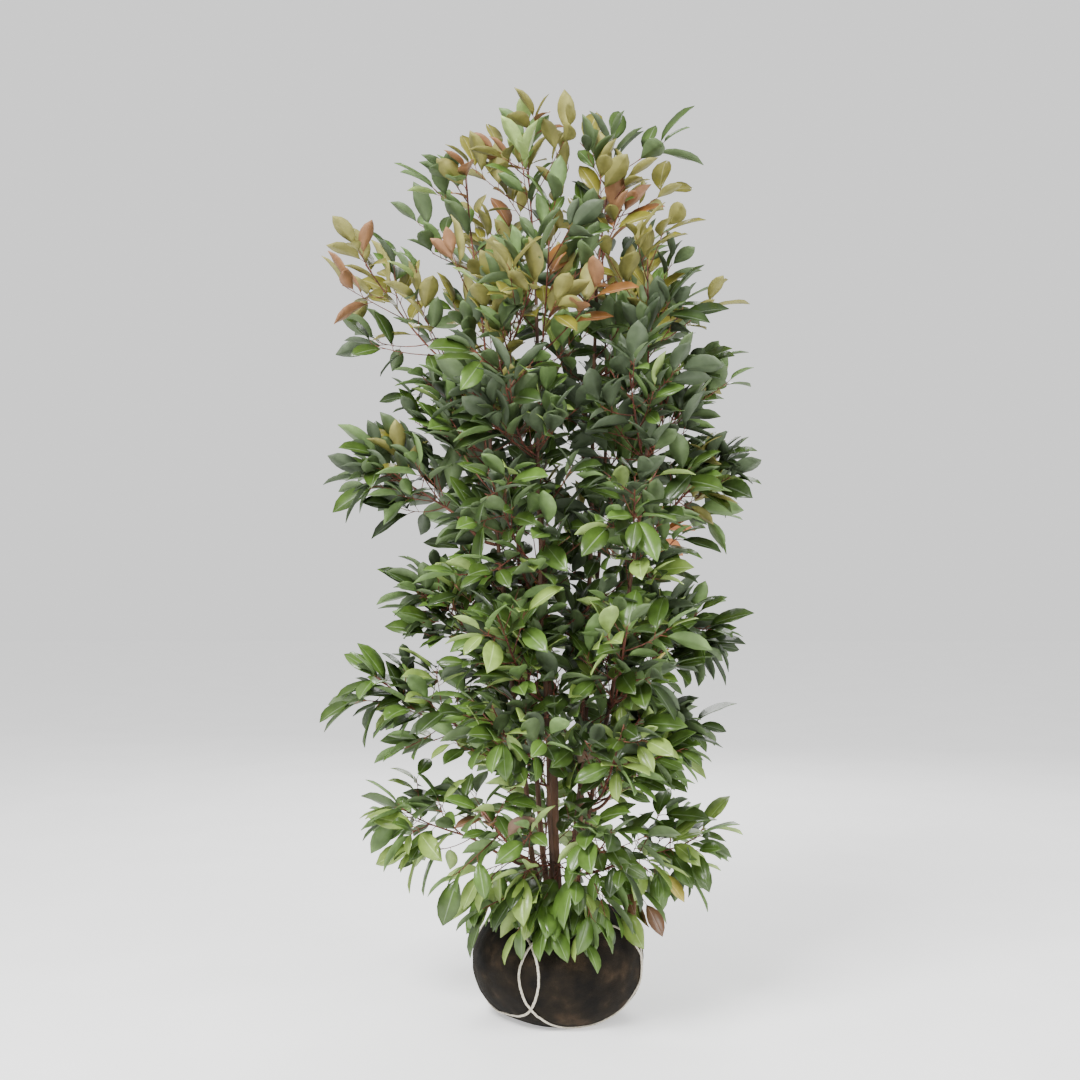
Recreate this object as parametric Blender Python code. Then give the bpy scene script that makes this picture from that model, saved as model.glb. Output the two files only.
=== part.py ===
"""A red tip photinia standing on its cloth wrapped root ball, about 2.15 m tall.

Seven stems stand on the soil in the top of the ball. Side limbs leave them towards the left and the
right, and each mass of foliage grows from the tip of a limb, the tip of a stem or the side of a stem.
Every mass is one solid that keeps to its own share of the crown. Units are metres, +Z is up, and the
origin is the middle of the flat underside of the ball. The viewer of the front stands at -Y.
"""

import math
import random

import bmesh
import bpy
import numpy as np
from mathutils import Matrix, Vector
from mathutils.bvhtree import BVHTree

UP = Vector((0.0, 0.0, 1.0))
GOLDEN_ANGLE = math.radians(137.5)
SEAT_GAP = 0.0003

# Root ball, a squashed ball of soil that stands on a flat foot and has a shallow dish on top.
BALL_RADIUS = 0.197
BALL_WAIST = 0.130
BALL_SHOULDER = 0.150
BALL_FOOT_RADIUS = 0.105
RIM_RADIUS = 0.098
SOIL_RADIUS = 0.084
SOIL_LEVEL = 0.252
BALL_STEPS = 26

# Binding twine, four loops that each lie in an upright plane beside the stems.
TWINE_WIDTH = 0.0055
TWINE_THICKNESS = 0.0022
TWINE_STANDOFF = 0.0006
TWINE_STEP = 0.0001
TWINE_GAP = 0.0004
TWINE_STATIONS = 24
TWINE_CROSSING = 0.020
TWINE_LOOPS = {
    # name: (direction that the plane faces in degrees, distance of the plane from the ball's axis)
    "twine_front_left": (213.0, 0.139),
    "twine_front_right": (293.0, 0.128),
    "twine_back_right": (33.0, 0.137),
    "twine_back_left": (113.0, 0.131),
}

# Stems: foot in the soil, tip where the stem enters its top mass, tip of that mass, foot diameter.
STEMS = {
    "stem_main": ((0.000, 0.000), (-0.050, 0.010, 1.70), (-0.072, 0.000, 2.147), 0.022),
    "stem_right": ((0.046, 0.006), (0.092, 0.020, 1.68), (0.128, 0.010, 2.125), 0.016),
    "stem_left": ((-0.047, -0.006), (-0.165, -0.030, 1.52), (-0.212, -0.030, 2.035), 0.014),
    "stem_outer_right": ((0.036, -0.044), (0.205, -0.070, 1.36), (0.205, -0.080, 1.885), 0.013),
    "stem_front": ((-0.014, -0.052), (-0.045, -0.150, 1.34), (-0.020, -0.190, 1.860), 0.012),
    "stem_back_left": ((-0.026, 0.048), (-0.110, 0.165, 1.46), (-0.110, 0.190, 1.960), 0.014),
    "stem_back_right": ((0.030, 0.052), (0.120, 0.160, 1.44), (0.110, 0.190, 2.010), 0.014),
}
STEM_TIP_DIAMETER = 0.0075
ROOT_FLARE = 1.4
FLARE_HEIGHT = 0.05
STEM_SIDES = 8
STEM_STATIONS = 10
STEM_KINK = 0.004

# Tiers of side masses: sector directions, then tip height and reach to the right and to the left.
SIX_WAYS = (0, 58, 118, 180, 242, 300)
TIERS = {
    # name: (sector directions in degrees, (height, reach) right, (height, reach) left)
    "foot": ((0, 95, 180, 238, 292), (0.430, 0.400), (0.500, 0.440)),
    "low": (SIX_WAYS, (0.700, 0.345), (0.800, 0.490)),
    "waist": (SIX_WAYS, (0.950, 0.400), (1.010, 0.370)),
    "chest": (SIX_WAYS, (1.300, 0.440), (1.310, 0.490)),
    "shoulder": (SIX_WAYS, (1.540, 0.385), (1.520, 0.350)),
    "top": ((5, 180, 262), (1.700, 0.300), (1.760, 0.520)),
}
FRONT_REACH = 0.36
RISE_OF_SIDE_MASS = 0.20
SIDE_LIMB_TIERS = ("foot", "low", "waist", "chest")
SIDE_LIMB_SHARE = 0.42
SIDE_LIMB_DIAMETER = 0.0085
SIDE_LIMB_TIP_DIAMETER = 0.0060
SIDE_LIMB_SIDES = 6

# Masses of foliage.
MASS_STEM_DIAMETER = 0.0060
MASS_TIP_DIAMETER = 0.0036
TWIG_DIAMETER = 0.0052
TWIG_TIP_DIAMETER = 0.0036
TWIGS_IN_MASS = 3
LEAVES_ON_TWIG = 3
LEAVES_ON_STEM = 3
LEAF_LENGTH = 0.124
LEAF_WIDTH = 0.46
LEAF_THICKNESS = 0.0145
LEAF_FOLD = 0.07
LEAF_SEAT = 0.0026
LEADER_LEAF_RISE = 0.8
SPACE_MARGIN = 0.0022
LIMB_MARGIN = 0.0062
BALL_MARGIN = 0.010


def material(name, colour, roughness):
    """A plain matt material of that colour."""
    made = bpy.data.materials.new(name)
    made.use_nodes = True
    shader = made.node_tree.nodes["Principled BSDF"]
    shader.inputs["Base Color"].default_value = (*colour, 1.0)
    shader.inputs["Roughness"].default_value = roughness
    shader.inputs["Metallic"].default_value = 0.0
    return made


def clear_scene():
    for thing in list(bpy.data.objects):
        bpy.data.objects.remove(thing)


def new_object(name, mesh, finish, collection=None):
    """Links a mesh into the scene, or into the collection, under that name."""
    made = bpy.data.objects.new(name, mesh)
    (collection or bpy.context.scene.collection).objects.link(made)
    mesh.materials.clear()
    mesh.materials.append(finish)
    return made


def smooth(mesh):
    """Shades round pieces smooth, with their end caps kept sharp."""
    mesh.shade_smooth()
    mesh.set_sharp_from_angle(angle=math.radians(50))


def bezier(a, b, c, d, t):
    """Point at t on the cubic curve from a to d."""
    s = 1.0 - t
    return a * s**3 + b * (3 * s * s * t) + c * (3 * s * t * t) + d * t**3


def direction_of(degrees):
    """Level unit vector in that direction, counted from +X towards +Y."""
    angle = math.radians(degrees)
    return Vector((math.cos(angle), math.sin(angle), 0.0))


def blended(start, end, share):
    return start + (end - start) * share


# Limbs


def surface_of(mesh):
    """Search tree over a mesh's faces."""
    return BVHTree.FromPolygons([v.co.copy() for v in mesh.vertices], [p.vertices[:] for p in mesh.polygons])


def outside_by(surface, point):
    """Distance of a point outside a closed surface, or minus its depth inside."""
    where, normal, _, distance = surface.find_nearest(point)
    return distance if (point - where).dot(normal) > 0 else -distance


def tangents(points):
    """Unit direction of the line of points at each point."""
    last = len(points) - 1
    return [(points[min(i + 1, last)] - points[max(i - 1, 0)]).normalized() for i in range(len(points))]


def ring_axes(points):
    """Two axes across the line at each point, carried along it without twist."""
    ways = tangents(points)
    across = ways[0].orthogonal().normalized()
    axes = []
    for way in ways:
        across = (across - way * across.dot(way)).normalized()
        axes.append((across, way.cross(across)))
    return axes


def limb_mesh(name, points, radii, sides):
    """A tapering limb with flat ends, made by extruding its foot along the line."""
    shape = bmesh.new()
    bmesh.ops.create_circle(shape, cap_ends=True, segments=sides, radius=radii[0])
    turns = [2 * math.pi * k / sides for k in range(sides)]
    face = shape.faces[:][0]
    rings = zip(points, radii, ring_axes(points))
    for station, (point, radius, (across, upward)) in enumerate(rings):
        if station:
            behind = face
            grown = bmesh.ops.extrude_face_region(shape, geom=[behind])["geom"]
            face = next(g for g in grown if isinstance(g, bmesh.types.BMFace))
            # The first face stays as the foot's flat end, and every later one would lie inside.
            if station > 1:
                bmesh.ops.delete(shape, geom=[behind], context="FACES_ONLY")
        for loop, turn in zip(face.loops, turns):
            loop.vert.co = point + across * (radius * math.cos(turn)) + upward * (radius * math.sin(turn))
    bmesh.ops.recalc_face_normals(shape, faces=shape.faces)
    mesh = bpy.data.meshes.new(name)
    shape.to_mesh(mesh)
    shape.free()
    smooth(mesh)
    return mesh


class Limb:
    """A stem, side limb or mass stem: its centre line, its radii and the surface that others seat on."""

    def __init__(self, name, points, radii, sides):
        self.name = name
        self.points = points
        self.radii = radii
        self.mesh = limb_mesh(name, points, radii, sides)
        self.surface = surface_of(self.mesh)

    def at_height(self, height):
        """Point of the centre line at that height, held inside the limb's own ends."""
        for low, high in zip(self.points, self.points[1:]):
            if low.z <= height <= high.z:
                return blended(low, high, (height - low.z) / (high.z - low.z))
        return self.points[-1] if height > self.points[-1].z else self.points[0]

    def samples(self, spacing=0.004):
        """Points along the centre line, each with the limb's radius there."""
        for i, (low, high) in enumerate(zip(self.points, self.points[1:])):
            count = max(2, math.ceil((high - low).length / spacing))
            for k in range(count):
                share = k / count
                radius = blended(self.radii[i], self.radii[i + 1], share)
                yield (*blended(low, high, share), radius)
        yield (*self.points[-1], self.radii[-1])


def seated_start(limb, centre, way, radius):
    """Where a branch of that radius starts, level and square to the limb, just clear of its surface."""
    across = way.cross(UP).normalized()
    distance = 0.0
    step = 0.0001
    while True:
        middle = centre + way * distance
        probes = [middle] + [
            middle + (across * math.cos(turn) + UP * math.sin(turn)) * radius
            for turn in (2 * math.pi * k / 12 for k in range(12))
        ]
        if min(outside_by(limb.surface, probe) for probe in probes) >= SEAT_GAP:
            return middle
        distance += step


def taper(start, end, count):
    return [blended(start, end, i / (count - 1)) for i in range(count)]


def grow_stem(name, seed):
    """A main stem from its flared foot in the soil to the tip where its top mass begins."""
    foot_xy, tip, _, diameter = STEMS[name]
    rng = random.Random(seed)
    foot = Vector((*foot_xy, SOIL_LEVEL + SEAT_GAP))
    tip = Vector(tip)
    height = tip.z - foot.z
    outward = Vector((tip.x - foot.x, tip.y - foot.y, 0.0))
    low_pull = foot + UP * (0.30 * height) + outward * 0.25
    high_pull = tip - UP * (0.35 * height) - outward * 0.10
    points, radii = [], []
    for i in range(STEM_STATIONS):
        t = i / (STEM_STATIONS - 1)
        point = bezier(foot, low_pull, high_pull, tip, t)
        if 0 < i < STEM_STATIONS - 1:
            point += Vector((rng.uniform(-1, 1), rng.uniform(-1, 1), 0.0)) * STEM_KINK
        points.append(point)
        radii.append(blended(diameter, STEM_TIP_DIAMETER, t**0.8) / 2)
    # The root flare is a short foot of its own, below the second station.
    points.insert(1, foot + UP * FLARE_HEIGHT + (points[1] - foot) * 0.05)
    radii.insert(1, radii[0] * 0.97)
    radii[0] *= ROOT_FLARE
    return Limb(name, points, radii, STEM_SIDES)


def grow_side_limb(name, stem, start_height, tip, seed):
    """A limb that leaves a stem square to it and bends up towards a mass, ending where the mass begins."""
    rng = random.Random(seed)
    centre = stem.at_height(start_height)
    way = Vector((tip.x - centre.x, tip.y - centre.y, 0.0)).normalized()
    radius = SIDE_LIMB_DIAMETER / 2
    start = seated_start(stem, centre, way, radius)
    end = blended(start, tip, SIDE_LIMB_SHARE)
    run = (end - start).length
    aim = (tip - start).normalized()
    points = [start, start + way * 0.006]
    for i in range(1, 6):
        t = i / 5
        point = bezier(points[1], points[1] + way * (0.25 * run), end - aim * (0.35 * run), end, t)
        if i < 5:
            point += Vector([rng.uniform(-1, 1) for _ in range(3)]) * 0.002
        points.append(point)
    radii = taper(radius, SIDE_LIMB_TIP_DIAMETER / 2, len(points))
    return Limb(name, points, radii, SIDE_LIMB_SIDES)


# Plan of the crown


def reach_and_height(tier, degrees, rng):
    """Tip height and reach of a side mass, eased between the tier's right, left and front values."""
    _, right, left = TIERS[tier]
    side = direction_of(degrees).x
    share = (side + 1) / 2
    height = blended(left[0], right[0], share)
    reach = right[1] if side > 0 else left[1]
    reach = blended(FRONT_REACH, reach, abs(side) ** 1.5)
    if abs(side) < 0.9:
        height += rng.uniform(-0.05, 0.05)
        reach *= rng.uniform(0.94, 1.04)
    return reach, height


def mass_path(start, way, tip, pull_up):
    """Centre line of a mass's stem: out of its seat along way, then turning up to its tip."""
    run = (tip - start).length
    knee = start + way * 0.006
    aim = (tip - start).normalized()
    arrival = (aim + UP * pull_up).normalized()
    line = [start]
    for i in range(5):
        line.append(bezier(knee, knee + way * (0.22 * run), tip - arrival * (0.38 * run), tip, i / 4))
    return line


class Mass:
    """One mass of foliage: its name, its stem and the middle of its own space."""

    def __init__(self, name, start, way, tip, pull_up, seed):
        self.name = name
        self.tip = tip
        self.seed = seed
        points = mass_path(start, way, tip, pull_up)
        radii = taper(MASS_STEM_DIAMETER / 2, MASS_TIP_DIAMETER / 2, len(points))
        self.stem = Limb(name + "_stem", points, radii, 4)
        self.centre = blended(start, tip, 0.62)


def plan_leaders(stems):
    """The masses that carry the stems on to the top of the crown."""
    masses = []
    for index, (name, stem) in enumerate(stems.items()):
        tip = Vector(STEMS[name][2])
        way = tangents(stem.points)[-1]
        start = stem.points[-1] + way * SEAT_GAP
        # The last leaf reaches past the end of the stem, so the stem stops short of the named tip.
        stem_end = tip - UP * (LEADER_LEAF_RISE * LEAF_LENGTH)
        masses.append(Mass(name.replace("stem", "leader"), start, way, stem_end, 0.6, 900 + index))
    return masses


def plan_sides(stems):
    """The side limbs and the side masses of every tier."""
    limbs, masses = {}, []
    for tier_index, (tier, (sectors, _, _)) in enumerate(TIERS.items()):
        for index, degrees in enumerate(sectors):
            seed = 100 * (tier_index + 1) + index
            rng = random.Random(seed)
            reach, height = reach_and_height(tier, degrees, rng)
            way = direction_of(degrees)
            # Leaves lie beyond the end of the mass's stem, so the stem stops short of the reach.
            tip = way * (reach - 0.6 * LEAF_LENGTH) + UP * (height - 0.02)
            start_height = max(tip.z - RISE_OF_SIDE_MASS, SOIL_LEVEL + 0.07 + 0.012 * index)
            stem = min(stems.values(), key=lambda s: (s.at_height(start_height) - tip).length)
            start_height = min(start_height, stem.points[-1].z - 0.05)
            name = f"{tier}_{index + 1}"
            if tier in SIDE_LIMB_TIERS and abs(way.x) > 0.95:
                limb = grow_side_limb(f"limb_{name}", stem, start_height, tip, seed)
                limbs[limb.name] = limb
                leaving = tangents(limb.points)[-1]
                start = limb.points[-1] + leaving * SEAT_GAP
            else:
                centre = stem.at_height(start_height)
                leaving = Vector((tip.x - centre.x, tip.y - centre.y, 0.0)).normalized()
                start = seated_start(stem, centre, leaving, MASS_STEM_DIAMETER / 2)
            masses.append(Mass("foliage_" + name, start, leaving, tip, 0.35, seed))
    return limbs, masses


# Foliage


class Crown:
    """Keeps every mass in its own space: nearer to its middle than to any other, and off all limbs."""

    def __init__(self, limbs, masses):
        self.centres = np.array([mass.centre for mass in masses])
        lines = [np.array(list(limb.samples())) for limb in limbs]
        lines += [np.array(list(mass.stem.samples())) for mass in masses]
        owners = [-1] * len(limbs) + list(range(len(masses)))
        self.line = np.concatenate(lines)
        self.owner = np.concatenate([np.full(len(line), who) for line, who in zip(lines, owners)])

    def in_own_space(self, points, index):
        own = self.centres[index]
        others = np.delete(self.centres, index, axis=0)
        apart = np.linalg.norm(others - own, axis=1)
        far = np.linalg.norm(points[:, None] - others[None], axis=2) ** 2
        near = np.linalg.norm(points - own, axis=1)[:, None] ** 2
        return bool(((far - near) / (2 * apart) > SPACE_MARGIN).all())

    def off_limbs(self, points, index):
        line = self.line[self.owner != index]
        gaps = np.linalg.norm(points[:, None] - line[None, :, :3], axis=2) - line[None, :, 3]
        return bool((gaps > LIMB_MARGIN).all())

    def off_ball(self, points):
        level = np.hypot(points[:, 0], points[:, 1])
        depth = np.where(points[:, 2] > BALL_WAIST, BALL_SHOULDER, BALL_WAIST) + BALL_MARGIN
        rise = (points[:, 2] - BALL_WAIST) / depth
        return bool((np.hypot(level / (BALL_RADIUS + BALL_MARGIN), rise) > 1).all())

    def admits(self, points, index):
        return self.in_own_space(points, index) and self.off_limbs(points, index) and self.off_ball(points)


def leaf_mesh():
    """A leaf of unit length: eight faces, folded along its middle, root at the origin, pointing along +X."""
    half = LEAF_WIDTH / 2
    corners = [
        (0.0, 0.0, 0.0),
        (0.52, half, LEAF_FOLD),
        (1.0, 0.0, -0.05),
        (0.52, -half, LEAF_FOLD),
        (0.45, 0.0, LEAF_THICKNESS / 2),
        (0.45, 0.0, -LEAF_THICKNESS / 2),
    ]
    top, under = 4, 5
    # Counted anticlockwise as seen from above: root, right edge, tip, left edge.
    rim = ((0, 3), (3, 2), (2, 1), (1, 0))
    faces = [(a, b, top) for a, b in rim] + [(b, a, under) for a, b in rim]
    shape = bmesh.new()
    points = [shape.verts.new(corner) for corner in corners]
    for face in faces:
        shape.faces.new([points[i] for i in face])
    mesh = bpy.data.meshes.new("leaf")
    shape.to_mesh(mesh)
    shape.free()
    return mesh


def leaf_place(root, along, turn, length):
    """Matrix that lays the unit leaf at its root, pointing along, its upper face towards the sky."""
    face = UP - along * UP.dot(along)
    if face.length < 0.25:
        face = along.orthogonal()
    face = Matrix.Rotation(turn, 3, along) @ face.normalized()
    side = face.cross(along)
    place = Matrix((along, side, face)).transposed().to_4x4()
    return Matrix.Translation(root) @ place @ Matrix.Scale(length, 4)


def leaf_probes():
    """Points spread over the unit leaf's middle surface, close enough that no twig passes between them."""
    points = []
    for x in np.linspace(0.14, 1.0, 12):
        share = x / 0.52 if x < 0.52 else (1.0 - x) / 0.48
        drop = -0.05 * x
        for y in (-1.0, -0.5, 0.0, 0.5, 1.0):
            points.append((x, y * share * LEAF_WIDTH / 2, drop + abs(y) * share * (LEAF_FOLD - drop)))
    return np.array(points)


LEAF_PROBES = leaf_probes()


def probes_of(place):
    turned = np.array(place)
    return LEAF_PROBES @ turned[:3, :3].T + turned[:3, 3]


def leaf_directions(axis, lean, start_turn, rng):
    """Endless leaf directions up a twig, each turned from the last by the golden angle."""
    across = axis.orthogonal().normalized()
    turn = start_turn
    while True:
        turn += GOLDEN_ANGLE
        out = Matrix.Rotation(turn, 3, axis) @ across
        bent = lean + rng.uniform(-0.15, 0.15)
        yield (axis * math.cos(bent) + out * math.sin(bent) - UP * 0.12).normalized()


def leaves_of(line, count, spread, crown, index, rng, taken):
    """Places for up to count leaves on the outer part of a line, refused where the crown doesn't admit them."""
    places = []
    ways = tangents(line)
    start_turn = rng.uniform(0, 2 * math.pi)
    directions = {}
    for attempt in range(4 * count):
        share = 1.0 - spread * (attempt % count) / count
        spot = share * (len(line) - 1)
        low = min(int(spot), len(line) - 2)
        root = blended(line[low], line[low + 1], spot - low)
        lean = blended(0.95, 0.55, share)
        if low not in directions:
            directions[low] = leaf_directions(ways[low + 1], lean, start_turn, rng)
        along = next(directions[low])
        length = LEAF_LENGTH * rng.uniform(0.82, 1.08)
        # The leaf starts inside the twig, so that the two fuse over more than a point.
        root = root - ways[low + 1] * LEAF_SEAT - along * (0.5 * LEAF_SEAT)
        place = leaf_place(root, along, rng.uniform(-0.45, 0.45), length)
        probes = probes_of(place)
        crowded = any(np.linalg.norm(probes[:, None] - other[None], axis=2).min() < 0.007 for other in taken)
        if crowded or not crown.admits(probes, index):
            continue
        taken.append(probes)
        places.append(place)
        if len(places) == count:
            break
    return places


def twig_line(stem_line, share, side_turn, length, rng):
    """Centre line of a twig that leaves the mass's stem and bends up."""
    spot = share * (len(stem_line) - 1)
    low = min(int(spot), len(stem_line) - 2)
    root = blended(stem_line[low], stem_line[low + 1], spot - low)
    axis = (stem_line[low + 1] - stem_line[low]).normalized()
    out = Matrix.Rotation(side_turn, 3, axis) @ axis.orthogonal().normalized()
    lean = rng.uniform(0.75, 1.0)
    way = (axis * math.cos(lean) + out * math.sin(lean)).normalized()
    later = (way + UP * 0.35).normalized()
    return [root, root + way * (0.5 * length), root + way * (0.5 * length) + later * (0.5 * length)]


def fused(name, base, pieces, finish):
    """Joins the pieces in a collection to the base with one Boolean union and removes them."""
    modifier = base.modifiers.new("fuse", "BOOLEAN")
    modifier.operation = "UNION"
    modifier.operand_type = "COLLECTION"
    modifier.collection = pieces
    modifier.solver = "EXACT"
    bpy.context.view_layer.update()
    graph = bpy.context.evaluated_depsgraph_get()
    mesh = bpy.data.meshes.new_from_object(base.evaluated_get(graph))
    mesh.name = name
    for piece in list(pieces.objects) + [base]:
        bpy.data.objects.remove(piece)
    bpy.data.collections.remove(pieces)
    return new_object(name, mesh, finish)


def grow_mass(mass, index, crown, leaf, finish):
    """Twigs and leaves of one mass by its own seeded rule, fused to its stem."""
    rng = random.Random(mass.seed)
    line = mass.stem.points
    run = sum((b - a).length for a, b in zip(line, line[1:]))
    pieces = bpy.data.collections.new(mass.name + "_pieces")
    bpy.context.scene.collection.children.link(pieces)
    taken = []
    places = leaves_of(line, LEAVES_ON_STEM, 0.25, crown, index, rng, taken)
    turn = rng.uniform(0, 2 * math.pi)
    twigs = 0
    for attempt in range(4 * TWIGS_IN_MASS):
        turn += GOLDEN_ANGLE
        share = 0.42 + 0.42 * ((attempt % TWIGS_IN_MASS) + rng.uniform(0, 0.5)) / TWIGS_IN_MASS
        twig = twig_line(line, share, turn, run * rng.uniform(0.30, 0.42), rng)
        trial = np.array([blended(a, b, s / 6) for a, b in zip(twig, twig[1:]) for s in range(1, 7)])
        if not crown.admits(trial, index):
            continue
        leaves = leaves_of(twig, LEAVES_ON_TWIG, 0.5, crown, index, rng, taken)
        if not leaves:
            continue
        radii = taper(TWIG_DIAMETER / 2, TWIG_TIP_DIAMETER / 2, len(twig))
        twig_name = f"{mass.name}_twig_{twigs}"
        new_object(twig_name, limb_mesh(twig_name, twig, radii, 3), finish, pieces)
        places += leaves
        twigs += 1
        if twigs == TWIGS_IN_MASS:
            break
    for place in places:
        made = new_object("leaf", leaf, finish, pieces)
        made.matrix_world = place
    base = new_object("base", mass.stem.mesh, finish)
    fused(mass.name, base, pieces, finish)


# Root ball and twine


def lump(angle, height):
    """Share by which the ball stands out or sinks in at that angle and height."""
    wave = 0.016 * math.sin(2 * angle + 0.8) + 0.010 * math.sin(3 * angle + 2.1)
    dent = math.exp(-(((angle - math.radians(222) + math.pi) % (2 * math.pi) - math.pi) / 0.55) ** 2)
    low = max(0.0, 1.0 - height / BALL_WAIST)
    return 1.0 + wave * min(1.0, height / 0.06) - 0.13 * dent * low


def ball_surface(angle, turn):
    """Point of the wrapped ball at an angle round it, turn running from the foot, -90 degrees, upwards."""
    if turn < 0:
        level = BALL_FOOT_RADIUS + (BALL_RADIUS - BALL_FOOT_RADIUS) * math.cos(turn)
        height = BALL_WAIST * (1.0 + math.sin(turn))
    else:
        level = BALL_RADIUS * math.cos(turn)
        height = BALL_WAIST + BALL_SHOULDER * math.sin(turn)
    return direction_of(math.degrees(angle)) * (level * lump(angle, height)) + UP * height


def root_ball(finish):
    """The ball as one turned body: flat foot, round flank, rim of the wrap, and soil in a shallow dish."""
    rim_turn = math.acos(RIM_RADIUS / BALL_RADIUS)
    turns = taper(-math.pi / 2, rim_turn, 12)
    shape = bmesh.new()
    profile = [Vector((0.0, 0.0, 0.0))]
    profile += [ball_surface(0.0, turn) for turn in turns]
    profile += [Vector((SOIL_RADIUS, 0.0, SOIL_LEVEL)), Vector((0.0, 0.0, SOIL_LEVEL))]
    line = [shape.verts.new(point) for point in profile]
    edges = [shape.edges.new(pair) for pair in zip(line, line[1:])]
    bmesh.ops.spin(
        shape, geom=line + edges, cent=(0, 0, 0), axis=UP, angle=2 * math.pi, steps=BALL_STEPS, use_merge=True
    )
    bmesh.ops.remove_doubles(shape, verts=shape.verts, dist=1e-5)
    for point in shape.verts:
        level = math.hypot(point.co.x, point.co.y)
        if level > SOIL_RADIUS + 0.002:
            angle = math.atan2(point.co.y, point.co.x)
            scale = lump(angle, point.co.z) / lump(0.0, point.co.z)
            point.co.x *= scale
            point.co.y *= scale
    bmesh.ops.recalc_face_normals(shape, faces=shape.faces)
    mesh = bpy.data.meshes.new("root_ball")
    shape.to_mesh(mesh)
    shape.free()
    smooth(mesh)
    return new_object("root_ball", mesh, finish)


def twine_track(name, ball):
    """Points of a twine loop on the ball, in the loop's own upright plane, with the way out at each."""
    degrees, distance = TWINE_LOOPS[name]
    facing = direction_of(degrees)
    along = UP.cross(facing)
    middle = facing * distance + UP * BALL_WAIST
    points, normals = [], []
    for station in range(TWINE_STATIONS):
        turn = 2 * math.pi * station / TWINE_STATIONS
        out = along * math.cos(turn) + UP * math.sin(turn)
        where, normal, _, _ = ball.ray_cast(middle + out * (2 * BALL_RADIUS), -out)
        points.append(where)
        normals.append(normal)
    count = len(normals)
    eased = [(normals[i - 1] + normals[i] * 2 + normals[(i + 1) % count]).normalized() for i in range(count)]
    return points, eased


def twine_rings(points, normals, lifts):
    """Corners of the flat twine at each station: inner left, inner right, outer right, outer left."""
    rings = []
    count = len(points)
    for i, (point, normal, lift) in enumerate(zip(points, normals, lifts)):
        way = (points[(i + 1) % count] - points[i - 1]).normalized()
        outward = (normal - way * normal.dot(way)).normalized()
        side = outward.cross(way) * (TWINE_WIDTH / 2)
        inner = point + outward * lift
        outer = inner + outward * TWINE_THICKNESS
        rings.append((inner - side, inner + side, outer + side, outer - side))
    return rings


def twine(name, ball, under, finish):
    """One closed loop of flat twine, lifted just clear of the ball and of the loops under it."""
    points, normals = twine_track(name, ball)
    lifts = [TWINE_STANDOFF + crossing_lift(point, under) for point in points]
    surfaces = [ball] + [surface_of(loop.data) for loop in under]
    count = len(points)
    settled = False
    while not settled:
        settled = True
        rings = twine_rings(points, normals, lifts)
        for i in range(count):
            j = (i + 1) % count
            probes = [
                blended(blended(rings[i][0], rings[j][0], s), blended(rings[i][1], rings[j][1], s), t)
                for s in taper(0.0, 1.0, 9)
                for t in taper(0.0, 1.0, 5)
            ]
            if min(outside_by(surface, probe) for surface in surfaces for probe in probes) < TWINE_GAP:
                lifts[i] += TWINE_STEP
                lifts[j] += TWINE_STEP
                settled = False
    shape = bmesh.new()
    corners = [[shape.verts.new(corner) for corner in ring] for ring in twine_rings(points, normals, lifts)]
    for ring, following in zip(corners, corners[1:] + corners[:1]):
        for k in range(4):
            shape.faces.new((ring[k], ring[(k + 1) % 4], following[(k + 1) % 4], following[k]))
    bmesh.ops.recalc_face_normals(shape, faces=shape.faces)
    mesh = bpy.data.meshes.new(name)
    shape.to_mesh(mesh)
    shape.free()
    return new_object(name, mesh, finish)


def crossing_lift(point, under):
    """Extra lift of a loop at a point, where it rides over the loops under it."""
    lift = 0.0
    for loop in under:
        degrees, distance = TWINE_LOOPS[loop.name]
        offset = abs(point.dot(direction_of(degrees)) - distance) / TWINE_CROSSING
        ease = max(0.0, min(1.0, 2.0 - offset))
        lift = max(lift, (TWINE_THICKNESS + TWINE_STANDOFF) * ease * ease * (3 - 2 * ease))
    return lift


def bind_ball(ball, finish):
    """The twine loops: one pair straight on the ball, then the pair that crosses over it."""
    surface = surface_of(ball.data)
    names = list(TWINE_LOOPS)
    lower = [twine(name, surface, [], finish) for name in names[0::2]]
    for name in names[1::2]:
        twine(name, surface, lower, finish)


def main():
    clear_scene()
    bark = material("bark", (0.115, 0.055, 0.032), 0.8)
    young_bark = material("young_bark", (0.20, 0.045, 0.035), 0.6)
    foliage = material("foliage", (0.045, 0.105, 0.030), 0.4)
    tip_foliage = material("tip_foliage", (0.13, 0.11, 0.025), 0.4)
    wrap = material("wrap_cloth", (0.028, 0.020, 0.014), 0.95)
    pale_twine = material("pale_twine", (0.66, 0.62, 0.53), 0.6)

    bind_ball(root_ball(wrap), pale_twine)
    stems = {name: grow_stem(name, 11 + order) for order, name in enumerate(STEMS)}
    limbs, masses = plan_sides(stems)
    leaders = plan_leaders(stems)
    for stem in stems.values():
        new_object(stem.name, stem.mesh, bark)
    for limb in limbs.values():
        new_object(limb.name, limb.mesh, young_bark)
    crown = Crown(list(stems.values()) + list(limbs.values()), masses + leaders)
    leaf = leaf_mesh()
    for index, mass in enumerate(masses + leaders):
        finish = tip_foliage if mass in leaders or "top" in mass.name else foliage
        grow_mass(mass, index, crown, leaf, finish)


main()
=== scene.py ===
"""Looks of a red tip photinia on its cloth wrapped root ball.

The masses of foliage grow again here by the same rule as the solids, carried to finer twigs and more
leaves inside the same spaces. Units are metres, +Z is up, and the viewer of the front stands at -Y.
"""

import math
import random

import bmesh
import bpy
import numpy as np
from mathutils import Matrix, Vector, noise
from mathutils.bvhtree import BVHTree


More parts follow.
